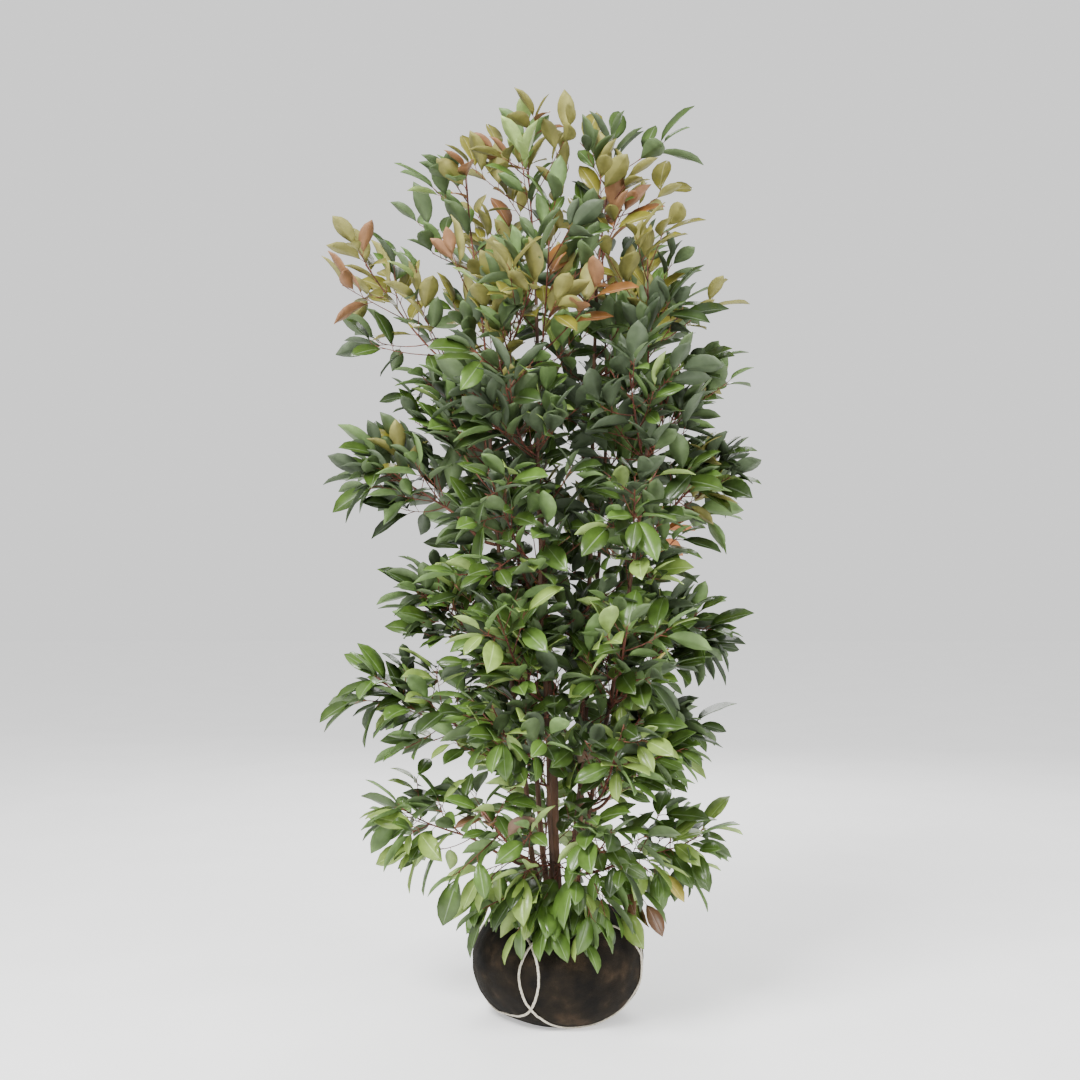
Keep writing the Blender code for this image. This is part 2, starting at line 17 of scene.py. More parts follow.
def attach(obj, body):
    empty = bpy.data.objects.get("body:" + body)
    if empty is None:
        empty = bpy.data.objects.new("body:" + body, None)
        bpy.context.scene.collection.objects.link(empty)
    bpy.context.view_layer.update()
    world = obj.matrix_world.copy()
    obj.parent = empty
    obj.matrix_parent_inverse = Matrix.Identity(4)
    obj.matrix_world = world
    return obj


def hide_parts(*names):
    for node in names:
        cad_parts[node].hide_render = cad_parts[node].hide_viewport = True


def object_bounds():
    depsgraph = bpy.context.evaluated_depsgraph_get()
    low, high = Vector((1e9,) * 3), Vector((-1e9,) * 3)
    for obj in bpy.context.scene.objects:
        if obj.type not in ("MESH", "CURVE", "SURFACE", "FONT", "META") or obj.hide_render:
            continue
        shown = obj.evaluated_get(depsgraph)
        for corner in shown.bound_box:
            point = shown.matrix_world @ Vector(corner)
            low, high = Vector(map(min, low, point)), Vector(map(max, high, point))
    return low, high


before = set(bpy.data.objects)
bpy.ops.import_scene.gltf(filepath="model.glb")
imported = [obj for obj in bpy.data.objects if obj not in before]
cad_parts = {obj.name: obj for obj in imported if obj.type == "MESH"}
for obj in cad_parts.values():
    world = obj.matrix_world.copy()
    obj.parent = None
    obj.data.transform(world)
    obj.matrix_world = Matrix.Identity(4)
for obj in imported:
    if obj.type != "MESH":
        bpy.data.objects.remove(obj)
SIZE_BEFORE = [list(corner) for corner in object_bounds()]

UP = Vector((0.0, 0.0, 1.0))
GOLDEN_ANGLE = math.radians(137.5)
SEAT_GAP = 0.0003

# Root ball: its widest level is at the waist, and the shoulder is the rise from there to the crown.
BALL_RADIUS = 0.197
BALL_WAIST = 0.130
BALL_SHOULDER = 0.150
BALL_FOOT_RADIUS = 0.105
RIM_RADIUS = 0.098
SOIL_LEVEL = 0.252
BALL_STEPS = 180
FLANK_STATIONS = 90

# Slow swellings of the ball, as shares of its radius, and the dent low at its front left.
SWELLS = ((2, 0.016, 0.8), (3, 0.010, 2.1))
SWELL_START = 0.06
DENT_WAY = 222
DENT_SHARE = 0.13
DENT_SPREAD = 0.55

# Folds of the cloth: gathers at the rim and the foot, creases between them, and a rolled edge.
GATHER_COUNT = 17
GATHER_DEPTH = 0.0045
GATHER_GROWTH = 1.2
GATHER_WOBBLE = 3.85
GATHERS_ABOVE = 0.15
GATHER_SPAN = 0.11
GATHERS_BELOW = 0.07
FOOT_GATHER = 0.5
CRUMPLE = 0.0030
CREASE_SHARE = 0.7
CREASE_SHARPNESS = 2.4
FINE_SHARE = 0.25
FINE_SCALE = 4.1
# Scales of the noises, round the ball and up it.
WOBBLE_SCALES = (2, 14)
CREASE_SCALES = (3.2, 17)
# The middle of the foot stays flat, and the folds grow in above it.
FLAT_SHARE = 0.6
FLAT_BELOW = 0.01
FOLD_AT_FOOT = 0.15
FOLD_START = 0.02
# The edge rolls in from this turn, ends this far inside the rim and under the soil, and is ragged.
EDGE_ROLL = 0.006
EDGE_TURN = 0.25
EDGE_STEPS = 7
EDGE_TUCK = 0.013
EDGE_UNDER_SOIL = 0.004
EDGE_RAG = 0.004
RAG_START = 0.002
RAG_SCALE = 9
RAG_LEVEL = 3.0

# Soil in the dish.
DISH_RADIUS = RIM_RADIUS - 0.006
DISH_SIDES = 64
DISH_RINGS = 14
SOIL_SINK = 0.0005
SOIL_LUMPS = 0.0030
SOIL_CRUMBS = 0.0016
LUMP_SCALE = 70
LUMP_LEVEL = 1.3
CRUMB_SCALE = 2.9
# Faces that lie this near to the disc's edge and to its level are the soil's.
DISH_SLACK = 0.0005
SOIL_SLACK = 0.006

# Binding twine: its flattening, its seat in the cloth and its lowest middle are in shares of its radius.
TWINE_RADIUS = 0.0026
TWINE_STATIONS = 150
TWINE_SIDES = 10
TWINE_WIDE = 1.10
TWINE_FLAT = 0.80
TWINE_SEAT = 0.45
TWINE_LOWEST = 1.05
TWINE_EASING = 6
STRANDS = 3
STRAND_DEPTH = 0.16
STRAND_TURN = 1.9
CROSSING_LIFT = 0.0030
CROSSING_REACH = 0.012
TWINE_LOOPS = {
    # node: (direction that the loop's plane faces in degrees, distance of the plane from the axis)
    "twine_front_left": (213.0, 0.139),
    "twine_front_right": (293.0, 0.128),
    "twine_back_right": (33.0, 0.137),
    "twine_back_left": (113.0, 0.131),
}

# Stems: foot in the soil, tip where the stem enters its top mass, tip of that mass, foot diameter.
STEMS = {
    "stem_main": ((0.000, 0.000), (-0.050, 0.010, 1.70), (-0.072, 0.000, 2.147), 0.022),
    "stem_right": ((0.046, 0.006), (0.092, 0.020, 1.68), (0.128, 0.010, 2.125), 0.016),
    "stem_left": ((-0.047, -0.006), (-0.165, -0.030, 1.52), (-0.212, -0.030, 2.035), 0.014),
    "stem_outer_right": ((0.036, -0.044), (0.205, -0.070, 1.36), (0.205, -0.080, 1.885), 0.013),
    "stem_front": ((-0.014, -0.052), (-0.045, -0.150, 1.34), (-0.020, -0.190, 1.860), 0.012),
    "stem_back_left": ((-0.026, 0.048), (-0.110, 0.165, 1.46), (-0.110, 0.190, 1.960), 0.014),
    "stem_back_right": ((0.030, 0.052), (0.120, 0.160, 1.44), (0.110, 0.190, 2.010), 0.014),
}
STEM_SEED = 11
STEM_TIP_DIAMETER = 0.0075
STEM_TAPER = 0.8
ROOT_FLARE = 1.4
FLARE_HEIGHT = 0.05
FLARE_LEAN = 0.05
FLARE_END = 0.97
STEM_STATIONS = 10
STEM_KINK = 0.004
# How far a stem's ends pull its curve upwards, as shares of its height, and outwards.
STEM_FOOT_PULL = (0.30, 0.25)
STEM_TIP_PULL = (0.35, 0.10)

# Tiers of side masses: sector directions, then tip height and reach to the right and to the left.
SIX_WAYS = (0, 58, 118, 180, 242, 300)
TIERS = {
    # name: (sector directions in degrees, (height, reach) right, (height, reach) left)
    "foot": ((0, 95, 180, 238, 292), (0.430, 0.400), (0.500, 0.440)),
    "low": (SIX_WAYS, (0.700, 0.345), (0.800, 0.490)),
    "waist": (SIX_WAYS, (0.950, 0.400), (1.010, 0.370)),
    "chest": (SIX_WAYS, (1.300, 0.440), (1.310, 0.490)),
    "shoulder": (SIX_WAYS, (1.540, 0.385), (1.520, 0.350)),
    "top": ((5, 180, 262), (1.700, 0.300), (1.760, 0.520)),
}
FRONT_REACH = 0.36
REACH_EASING = 1.5
# Sectors that lie this near to the right or the left keep their tier's own height and reach.
PLAIN_SIDE = 0.9
HEIGHT_SCATTER = 0.05
REACH_SCATTER = (0.94, 1.04)
TIER_SEEDS = 100
LEADER_SEED = 900
RISE_OF_SIDE_MASS = 0.20
LOWEST_LIMB = 0.07
LOWEST_LIMB_STEP = 0.012
BELOW_STEM_TIP = 0.05
SIDE_LIMB_TIERS = ("foot", "low", "waist", "chest")
SIDE_LIMB_SECTOR = 0.95
SIDE_LIMB_SHARE = 0.42
SIDE_LIMB_DIAMETER = 0.0085
SIDE_LIMB_TIP_DIAMETER = 0.0060
SIDE_LIMB_SPANS = 5
SIDE_LIMB_PULLS = (0.25, 0.35)
SIDE_LIMB_KINK = 0.002
# A limb or a mass leaves its bearer square to it over this run.
SQUARE_RUN = 0.006
MASS_STEM_DIAMETER = 0.0060
MASS_TIP_DIAMETER = 0.0030
MASS_SPANS = 4
MASS_PULLS = (0.22, 0.38)
MASS_MIDDLE = 0.62
SIDE_MASS_RISE = 0.35
LEADER_RISE = 0.6
SOURCE_LEAF_LENGTH = 0.124
LEAF_PAST_TIP = 0.6
LEAF_ABOVE_TIP = 0.02
LEADER_LEAF_RISE = 0.8

# Clearances that leaves and twigs keep.
SPACE_MARGIN = 0.001
LIMB_MARGIN = 0.002
BALL_MARGIN = 0.004
UNDER_BOX = 0.002
OVER_BOX = 0.004
SAMPLE_STEP = 0.006

# Twigs of a mass: where they leave its stem, as shares of it, their lengths as shares of its run.
TWIGS_IN_MASS = 17
TWIGS_IN_FOOT_MASS = 11
FOOT_LIMIT = 0.50
FIRST_TWIG = 0.04
TWIG_SPAN = 0.88
TWIG_SCATTER = 0.6
TWIG_SHARES = (0.22, 0.62)
INNER_TWIG_GAIN = 1.35
TWIG_SHORTENING = 0.6
MOST_TWIG = 0.20
TWIG_TRIES = 5
TWIG_LEANS = (0.55, 1.35)
TWIG_RISES = (0.0, 0.6)
TWIG_STATIONS = 6
TWIG_EASING = 0.66
TWIG_DIAMETER = 0.0034
TWIG_TIP_DIAMETER = 0.0020

# Shoots straight from the main stems, and the low ones that hang over the ball's front.
SHOOT_SEED = 5
SHOOTS_FROM = 0.56
SHOOT_STEP = 0.050
SHOOT_SPACING = (0.6, 1.4)
SHOOT_LENGTHS = (0.09, 0.20)
SHOOT_RISE = 0.5
SHOOT_LIFT = 0.45
HANGING_SHOOTS = 16
HANGING_WAYS = (205, 330)
HANGING_HEIGHTS = (0.31, 0.40)
HANGING_LENGTHS = (0.17, 0.27)
HANGING_RISE = -1.5
HANGING_LIFT = 0.10

# Leaves along a twig or a mass's stem: how many, on what share of it, and how they lean out and droop.
LEAVES_ON_TWIG = 5
LEAVES_ON_STEM = 9
TWIG_LEAF_SHARE = 0.62
STEM_LEAF_SHARE = 0.42
LEAF_CROWDING = 1.25
LEAF_TRIES = 4
INNER_LEAN = 1.15
OUTER_LEAN = 0.50
LEAN_SCATTER = 0.2
MOST_LEAF_TURN = 0.95
LEAF_SCATTER = (0.68, 1.20)
END_LEAF = 0.86
LOW_DROOP = 0.42
TOP_DROOP = -0.18
DROOP_FROM = 0.35
DROOP_SPAN = 1.35
STEEP_LEAF = 0.25

# One leaf, in shares of its length except for its length and depth.
LEAF_LENGTH = 0.106
LEAF_DEPTH = 0.0006
LEAF_WIDTH = 0.41
LEAF_STATIONS = 6
# Where each column of the flat blade goes across it: the two middle ones close in on the midrib.
LEAF_COLUMNS = {-1.0: -1.0, -0.33: -0.06, 0.33: 0.06, 1.0: 1.0}
MIDRIB_REACH = 0.006
LEAF_SWELL = 1.12
LEAF_FULLNESS = 0.72
LEAF_END_WIDTH = 0.03
LEAF_FOLD = 0.34
LEAF_WAVE = 0.014
LEAF_WAVE_RATE = 9.0
LEAF_CURL = 0.17
LEAF_STALK = 0.14
STALK_LINE = ((-0.02, 0, -0.01), (0.07, 0, 0.004), (0.16, 0, 0.0))
STALK_RADII = (0.011, 0.009, 0.007)

# Sides of the round pieces, and the steps that smooth each span of their lines.
STEM_SIDES = 20
STEM_STEPS = 12
SIDE_LIMB_SIDES = 12
SIDE_LIMB_STEPS = 6
MASS_STEM_SIDES = 6
MASS_STEM_STEPS = 3
TWIG_SIDES = 4
STALK_SIDES = 3

# Pieces that the leaves are joined into, with the height that each goes up to.
LEAF_GROUPS = {
    "leaves_foot": 0.55,
    "leaves_lower": 0.92,
    "leaves_middle": 1.30,
    "leaves_upper": 1.60,
    "leaves_top": 9.0,
}

# Colours, linear.
LEAF_COLOURS = {
    "dark": (0.026, 0.052, 0.008),
    "deep": (0.048, 0.092, 0.012),
    "mid": (0.088, 0.168, 0.026),
    "light": (0.230, 0.340, 0.070),
    "olive": (0.185, 0.172, 0.020),
    "bronze": (0.210, 0.085, 0.018),
    "pink": (0.500, 0.070, 0.075),
    "orange": (0.520, 0.170, 0.035),
    "yellow": (0.520, 0.420, 0.085),
    "dry": (0.150, 0.075, 0.035),
}
PALE_GREY = 0.34
RIB_PALENESS = 0.22
UNDER_PALENESS = 0.13
LEAF_STALK_RED = (0.20, 0.060, 0.035)
# Chances that a leaf differs from its spray by a shade, that bronze turns olive and that an accent is plain.
SHADE_CHANCE = 0.35
OLIVE_CHANCE = 0.5
PLAIN_CHANCE = 0.6
SHADES = ("dark", "deep", "mid", "light")
ACCENTS = ("pink", "orange", "yellow", "dry")
# Spray colours by height: the top is olive and bronze, the middle dark, the foot lighter green.
SPRAY_MIX = (
    # (up to this height, weights of the colours)
    (0.62, {"mid": 5, "light": 4, "deep": 2, "yellow": 0.15, "dry": 0.25}),
    (1.15, {"deep": 4, "dark": 3, "mid": 4, "light": 1, "yellow": 0.12, "orange": 0.08}),
    (1.62, {"dark": 5, "deep": 4, "mid": 2, "olive": 1.5, "pink": 0.10}),
    (9.00, {"olive": 5, "deep": 3, "bronze": 3, "mid": 2, "pink": 0.15}),
)

# Bark: dark and light colour of each kind, and the scale of its streaks.
STEM_BARK = ((0.045, 0.022, 0.013), (0.125, 0.062, 0.036), 75.0)
LIMB_BARK = ((0.060, 0.020, 0.013), (0.150, 0.055, 0.032), 90.0)
TWIG_BARK = ((0.060, 0.018, 0.012), (0.150, 0.045, 0.026), 120.0)
# Swellings of the bark: their depth as a share of the radius, and their scales round, up and across.
BARK_SWELL = 0.07
BARK_SWELL_SCALES = (1.6, 26, 40)

# Studio: what the surround gives as light and shows as a background, and the floor's own glow.
SURROUND_LIGHT = 0.65
SURROUND_SEEN = 1.15
FLOOR_GLOW = 0.55
FLOOR_SIZE = 14.0
LIGHT_TARGET = (0, 0, 1.1)
LIGHTS = {
    # name: (place, size, power)
    "key_light": ((-1.8, -3.0, 4.2), 1.8, 470.0),
    "fill_light": ((3.0, -2.6, 2.2), 2.4, 110.0),
    "back_light": ((0.6, 3.4, 3.0), 2.4, 120.0),
}
CAMERA_PLACE = (-0.040, -3.80, 1.10)
LENS = 54.5
SENSOR = 36.0


# Curves and directions


def bezier(a, b, c, d, t):
    """Point at t on the cubic curve from a to d."""
    s = 1.0 - t
    return a * s**3 + b * (3 * s * s * t) + c * (3 * s * t * t) + d * t**3


def direction_of(degrees):
    """Level unit vector in that direction, counted from +X towards +Y."""
    angle = math.radians(degrees)
    return Vector((math.cos(angle), math.sin(angle), 0.0))


def blended(start, end, share):
    return start + (end - start) * share


def taper(start, end, count):
    """That many values in even steps from start to end."""
    return [blended(start, end, i / (count - 1)) for i in range(count)]


def tangents(points):
    """Unit direction of the line of points at each point."""
    last = len(points) - 1
    return [(points[min(i + 1, last)] - points[max(i - 1, 0)]).normalized() for i in range(len(points))]


def smooth_line(points, radii, steps):
    """The same line with more stations, eased through its points, and its radii."""
    last = len(points) - 1
    line, sizes = [], []
    for i in range(last):
        before, a, b, after = points[max(i - 1, 0)], points[i], points[i + 1], points[min(i + 2, last)]
        for k in range(steps):
            t = k / steps
            pull_a, pull_b = (b - before) / 6, (after - a) / 6
            line.append(bezier(a, a + pull_a, b - pull_b, b, t))
            sizes.append(blended(radii[i], radii[i + 1], t))
    return line + [points[-1]], sizes + [radii[-1]]


# Plan of the plant, the same rule as the solids


class Limb:
    """Centre line and radii of a stem, side limb or mass stem."""

    def __init__(self, name, points, radii):
        self.name = name
        self.points = points
        self.radii = radii

    def at_height(self, height):
        """Middle of the limb at that height, or its nearer end."""
        for low, high in zip(self.points, self.points[1:]):
            if low.z <= height <= high.z:
                return blended(low, high, (height - low.z) / (high.z - low.z))
        return self.points[-1] if height > self.points[-1].z else self.points[0]

    def radius_at(self, height):
        for i, (low, high) in enumerate(zip(self.points, self.points[1:])):
            if low.z <= height <= high.z:
                return blended(self.radii[i], self.radii[i + 1], (height - low.z) / (high.z - low.z))
        return self.radii[-1]

    def samples(self):
        """Close points along the limb, each with the limb's radius there."""
        for i, (low, high) in enumerate(zip(self.points, self.points[1:])):
            count = max(2, math.ceil((high - low).length / SAMPLE_STEP))
            for k in range(count):
                share = k / count
                yield (*blended(low, high, share), blended(self.radii[i], self.radii[i + 1], share))
        yield (*self.points[-1], self.radii[-1])


def grow_stem(name, seed):
    """A main stem from its flared foot in the soil to the tip where its top mass begins."""
    foot_xy, tip, _, diameter = STEMS[name]
    rng = random.Random(seed)
    foot = Vector((*foot_xy, SOIL_LEVEL + SEAT_GAP))
    tip = Vector(tip)
    height = tip.z - foot.z
    outward = Vector((tip.x - foot.x, tip.y - foot.y, 0.0))
    low_pull = foot + UP * (STEM_FOOT_PULL[0] * height) + outward * STEM_FOOT_PULL[1]
    high_pull = tip - UP * (STEM_TIP_PULL[0] * height) - outward * STEM_TIP_PULL[1]
    points, radii = [], []
    for i in range(STEM_STATIONS):
        t = i / (STEM_STATIONS - 1)
        point = bezier(foot, low_pull, high_pull, tip, t)
        if 0 < i < STEM_STATIONS - 1:
            point += Vector((rng.uniform(-1, 1), rng.uniform(-1, 1), 0.0)) * STEM_KINK
        points.append(point)
        radii.append(blended(diameter, STEM_TIP_DIAMETER, t**STEM_TAPER) / 2)
    points.insert(1, foot + UP * FLARE_HEIGHT + (points[1] - foot) * FLARE_LEAN)
    radii.insert(1, radii[0] * FLARE_END)
    radii[0] *= ROOT_FLARE
    return Limb(name, points, radii)


def grow_side_limb(name, stem, start_height, tip, seed):
    """A limb that leaves a stem square to it and bends up towards a mass."""
    rng = random.Random(seed)
    centre = stem.at_height(start_height)
    way = Vector((tip.x - centre.x, tip.y - centre.y, 0.0)).normalized()
    start = centre + way * (stem.radius_at(start_height) + SEAT_GAP)
    end = blended(start, tip, SIDE_LIMB_SHARE)
    run = (end - start).length
    aim = (tip - start).normalized()
    leaving, arriving = SIDE_LIMB_PULLS
    points = [start, start + way * SQUARE_RUN]
    for i in range(1, SIDE_LIMB_SPANS + 1):
        t = i / SIDE_LIMB_SPANS
        point = bezier(points[1], points[1] + way * (leaving * run), end - aim * (arriving * run), end, t)
        if i < SIDE_LIMB_SPANS:
            point += Vector([rng.uniform(-1, 1) for _ in range(3)]) * SIDE_LIMB_KINK
        points.append(point)
    return Limb(name, points, taper(SIDE_LIMB_DIAMETER / 2, SIDE_LIMB_TIP_DIAMETER / 2, len(points)))


def reach_and_height(tier, degrees, rng):
    """Reach and tip height of a side mass, eased between the tier's right, left and front values."""
    _, right, left = TIERS[tier]
    side = direction_of(degrees).x
    height = blended(left[0], right[0], (side + 1) / 2)
    reach = blended(FRONT_REACH, right[1] if side > 0 else left[1], abs(side) ** REACH_EASING)
    if abs(side) < PLAIN_SIDE:
        height += rng.uniform(-HEIGHT_SCATTER, HEIGHT_SCATTER)
        reach *= rng.uniform(*REACH_SCATTER)
    return reach, height


class Mass:
    """One mass of foliage: its name, its stem and the middle of its own space."""

    def __init__(self, name, start, way, tip, rise, seed):
        self.name = name
        self.seed = seed
        run = (tip - start).length
        knee = start + way * SQUARE_RUN
        arrival = ((tip - start).normalized() + UP * rise).normalized()
        low_pull = knee + way * (MASS_PULLS[0] * run)
        high_pull = tip - arrival * (MASS_PULLS[1] * run)
        line = [start]
        for i in range(MASS_SPANS + 1):
            line.append(bezier(knee, low_pull, high_pull, tip, i / MASS_SPANS))
        radii = taper(MASS_STEM_DIAMETER / 2, MASS_TIP_DIAMETER / 2, len(line))
        self.stem = Limb(name + "_stem", line, radii)
        self.centre = blended(start, tip, MASS_MIDDLE)


def plan_leaders(stems):
    """The masses that carry the stems on to the top of the crown."""
    masses = []
    for index, (name, stem) in enumerate(stems.items()):
        way = tangents(stem.points)[-1]
        start = stem.points[-1] + way * SEAT_GAP
        tip = Vector(STEMS[name][2]) - UP * (LEADER_LEAF_RISE * SOURCE_LEAF_LENGTH)
        leader = name.replace("stem", "leader")
        masses.append(Mass(leader, start, way, tip, LEADER_RISE, LEADER_SEED + index))
    return masses


def plan_sides(stems):
    """The side limbs and the side masses of every tier."""
    limbs, masses = [], []
    for tier_index, (tier, (sectors, _, _)) in enumerate(TIERS.items()):
        for index, degrees in enumerate(sectors):
            seed = TIER_SEEDS * (tier_index + 1) + index
            rng = random.Random(seed)
            reach, height = reach_and_height(tier, degrees, rng)
            way = direction_of(degrees)
            tip = way * (reach - LEAF_PAST_TIP * SOURCE_LEAF_LENGTH) + UP * (height - LEAF_ABOVE_TIP)
            lowest = SOIL_LEVEL + LOWEST_LIMB + LOWEST_LIMB_STEP * index
            start_height = max(tip.z - RISE_OF_SIDE_MASS, lowest)
            stem = min(stems.values(), key=lambda s: (s.at_height(start_height) - tip).length)
            start_height = min(start_height, stem.points[-1].z - BELOW_STEM_TIP)
            name = f"{tier}_{index + 1}"
            if tier in SIDE_LIMB_TIERS and abs(way.x) > SIDE_LIMB_SECTOR:
                limb = grow_side_limb(f"limb_{name}", stem, start_height, tip, seed)
                limbs.append(limb)
                leaving = tangents(limb.points)[-1]
                start = limb.points[-1] + leaving * SEAT_GAP
            else:
                centre = stem.at_height(start_height)
                leaving = Vector((tip.x - centre.x, tip.y - centre.y, 0.0)).normalized()
                start = centre + leaving * (stem.radius_at(start_height) + SEAT_GAP)
            masses.append(Mass("foliage_" + name, start, leaving, tip, SIDE_MASS_RISE, seed))
    return limbs, masses


class Crown:
    """Keeps every mass in its own space, off the stems and limbs, off the ball and inside the box."""

    def __init__(self, limbs, masses):
        self.centres = np.array([mass.centre for mass in masses])
        self.line = np.concatenate([np.array(list(limb.samples())) for limb in limbs])
        self.low = np.array(SIZE_BEFORE[0]) - UNDER_BOX
        self.high = np.array(SIZE_BEFORE[1]) + OVER_BOX

    def in_own_space(self, points, index):
        """Whether the points lie nearer to that mass's middle than to any other's."""
        own = self.centres[index]
        others = np.delete(self.centres, index, axis=0)
        apart = np.linalg.norm(others - own, axis=1)
        far = np.linalg.norm(points[:, None] - others[None], axis=2) ** 2
        near = np.linalg.norm(points - own, axis=1)[:, None] ** 2
        return bool(((far - near) / (2 * apart) > SPACE_MARGIN).all())

    def admits(self, points, index=None):
        """Whether the points are free: index is their mass, or None for a shoot that belongs to none."""
        if not ((points > self.low) & (points < self.high)).all():
            return False
        if index is not None and not self.in_own_space(points, index):
            return False
        gaps = np.linalg.norm(points[:, None] - self.line[None, :, :3], axis=2) - self.line[None, :, 3]
        if not (gaps > LIMB_MARGIN).all():
            return False
        level = np.hypot(points[:, 0], points[:, 1])
        depth = np.where(points[:, 2] > BALL_WAIST, BALL_SHOULDER, BALL_WAIST) + BALL_MARGIN
        rise = (points[:, 2] - BALL_WAIST) / depth
        return bool((np.hypot(level / (BALL_RADIUS + BALL_MARGIN), rise) > 1).all())


# Meshes


def finished_piece(name, shape, finishes):
    """Turns a bmesh into a piece of the plant."""
    mesh = bpy.data.meshes.new(name)
    shape.to_mesh(mesh)
    shape.free()
    return piece_of(name, mesh, finishes)


def piece_of(name, mesh, finishes):
    """Turns a mesh into a smooth piece that rides on the root body."""
    for finish in finishes:
        mesh.materials.append(finish)
    mesh.shade_smooth()
    made = bpy.data.objects.new(name, mesh)
    bpy.context.scene.collection.objects.link(made)
    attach(made, "root")
    return made


def tube_arrays(points, radii, sides, ripple=None):
    """Vertices and faces of a round limb along a line, with caps."""
    ways = tangents(points)
    across = ways[0].orthogonal().normalized()
    rows = []
    for point, radius, way in zip(points, radii, ways):
        across = (across - way * across.dot(way)).normalized()
        upward = way.cross(across)
        for k in range(sides):
            turn = 2 * math.pi * k / sides
            size = radius * (ripple(point, turn) if ripple else 1.0)
            rows.append(point + across * (size * math.cos(turn)) + upward * (size * math.sin(turn)))
    faces = []
    for i in range(len(points) - 1):
        for k in range(sides):
            j = (k + 1) % sides
            faces.append((i * sides + k, i * sides + j, (i + 1) * sides + j, (i + 1) * sides + k))
    faces.append(tuple(reversed(range(sides))))
    faces.append(tuple((len(points) - 1) * sides + k for k in range(sides)))
    return rows, faces


def joined_tubes(name, tubes, finishes):
    """One piece from many tubes."""
    rows, faces = [], []
    for tube_rows, tube_faces in tubes:
        base = len(rows)
        rows += tube_rows
        faces += [tuple(base + i for i in face) for face in tube_faces]
    mesh = bpy.data.meshes.new(name)
    mesh.from_pydata(rows, [], faces)
    return piece_of(name, mesh, finishes)


def bent_blade(along, across):
    """Where a point of the flat blade goes: broadest past the middle, folded, waved and curled down."""
    fullness = math.sin(math.pi * along**LEAF_SWELL) ** LEAF_FULLNESS if 0 < along < 1 else 0.0
    y = across * (LEAF_WIDTH / 2 * max(fullness, LEAF_END_WIDTH))
    fold = LEAF_FOLD * abs(y)
    wave = LEAF_WAVE * math.sin(LEAF_WAVE_RATE * along) * abs(across)
    z = fold + wave - LEAF_CURL * along**2
    return Vector((LEAF_STALK + (1 - LEAF_STALK) * along, y, z))


def leaf_template():
    """A leaf of unit length: upper face, midrib, underside and stalk in slots 0, 1, 2 and 3."""
    shape = bmesh.new()
    bmesh.ops.create_grid(shape, x_segments=LEAF_STATIONS, y_segments=3, size=0.5)
    for vert in shape.verts:
        across = LEAF_COLUMNS[min(LEAF_COLUMNS, key=lambda c: abs(c - 2 * vert.co.y))]
        vert.co = bent_blade(vert.co.x + 0.5, across)
    for face in shape.faces:
        face.material_index = 1 if abs(face.calc_center_median().y) < MIDRIB_REACH else 0
    # The underside is the same sheet a little lower, and the rim joins the two.
    upper = list(shape.faces)
    lower = bmesh.ops.duplicate(shape, geom=upper)["geom"]
    under = [g for g in lower if isinstance(g, bmesh.types.BMFace)]
    for vert in (g for g in lower if isinstance(g, bmesh.types.BMVert)):
        vert.co.z -= LEAF_DEPTH / LEAF_LENGTH
    bmesh.ops.reverse_faces(shape, faces=under)
    for face in under:
        face.material_index = 2
    bmesh.ops.bridge_loops(shape, edges=[e for e in shape.edges if e.is_boundary])
    # The leaf's stalk is a three sided limb from the twig to the foot of the blade.
    rows, faces = tube_arrays([Vector(point) for point in STALK_LINE], STALK_RADII, STALK_SIDES)
    corners = [shape.verts.new(row) for row in rows]
    for face in faces:
        made = shape.faces.new([corners[i] for i in face])
        made.material_index = 3
    shape.verts.index_update()
    points = np.array([v.co for v in shape.verts])
    loops = [[v.index for v in f.verts] for f in shape.faces]
    slots = [f.material_index for f in shape.faces]
    shape.free()
    return points, loops, slots


def joined_leaves(name, template, places, finish_sets):
    """One piece from many leaves, each with its colour's four finishes."""
    points, loops, slots = template
    count = len(points)
    everything = np.empty((len(places) * count, 3))
    faces, indices = [], []
    finishes, offsets = [], {}
    for i, (place, colour) in enumerate(places):
        if colour not in offsets:
            offsets[colour] = len(finishes)
            finishes += finish_sets[colour]
        turned = np.array(place)
        everything[i * count : (i + 1) * count] = points @ turned[:3, :3].T + turned[:3, 3]
        faces += [[i * count + v for v in loop] for loop in loops]
        indices += [offsets[colour] + slot for slot in slots]
    mesh = bpy.data.meshes.new(name)
    mesh.from_pydata(everything.tolist(), [], faces)
    mesh.polygons.foreach_set("material_index", indices)
    return piece_of(name, mesh, finishes)


# Foliage


def leaf_place(root, along, turn, length):
    """Matrix that lays the unit leaf at its root, pointing along, its upper face towards the sky."""
    face = UP - along * UP.dot(along)
    if face.length < STEEP_LEAF:
        face = along.orthogonal()
    face = Matrix.Rotation(turn, 3, along) @ face.normalized()
    side = face.cross(along)
    place = Matrix((along, side, face)).transposed().to_4x4()
    return Matrix.Translation(root) @ place @ Matrix.Scale(length, 4)


# Points of the unit leaf that have to be free: four rows of three across the blade, and its tip.
LEAF_PROBES = np.array(
    [(x, y * LEAF_WIDTH / 2, -0.1 * x) for x in (0.3, 0.5, 0.7, 0.85) for y in (-0.8, 0, 0.8)]
    + [(1.0, 0.0, -0.1)]
)


def droop_at(height):
    """How far leaves bend down: they hang near the ball and stand up at the top."""
    return blended(LOW_DROOP, TOP_DROOP, max(0.0, min(1.0, (height - DROOP_FROM) / DROOP_SPAN)))


def spot_on(line, share):
    """The point at that share of the line's stations, and the station before it."""
    spot = share * (len(line) - 1)
    low = min(int(spot), len(line) - 2)
    return blended(line[low], line[low + 1], spot - low), low


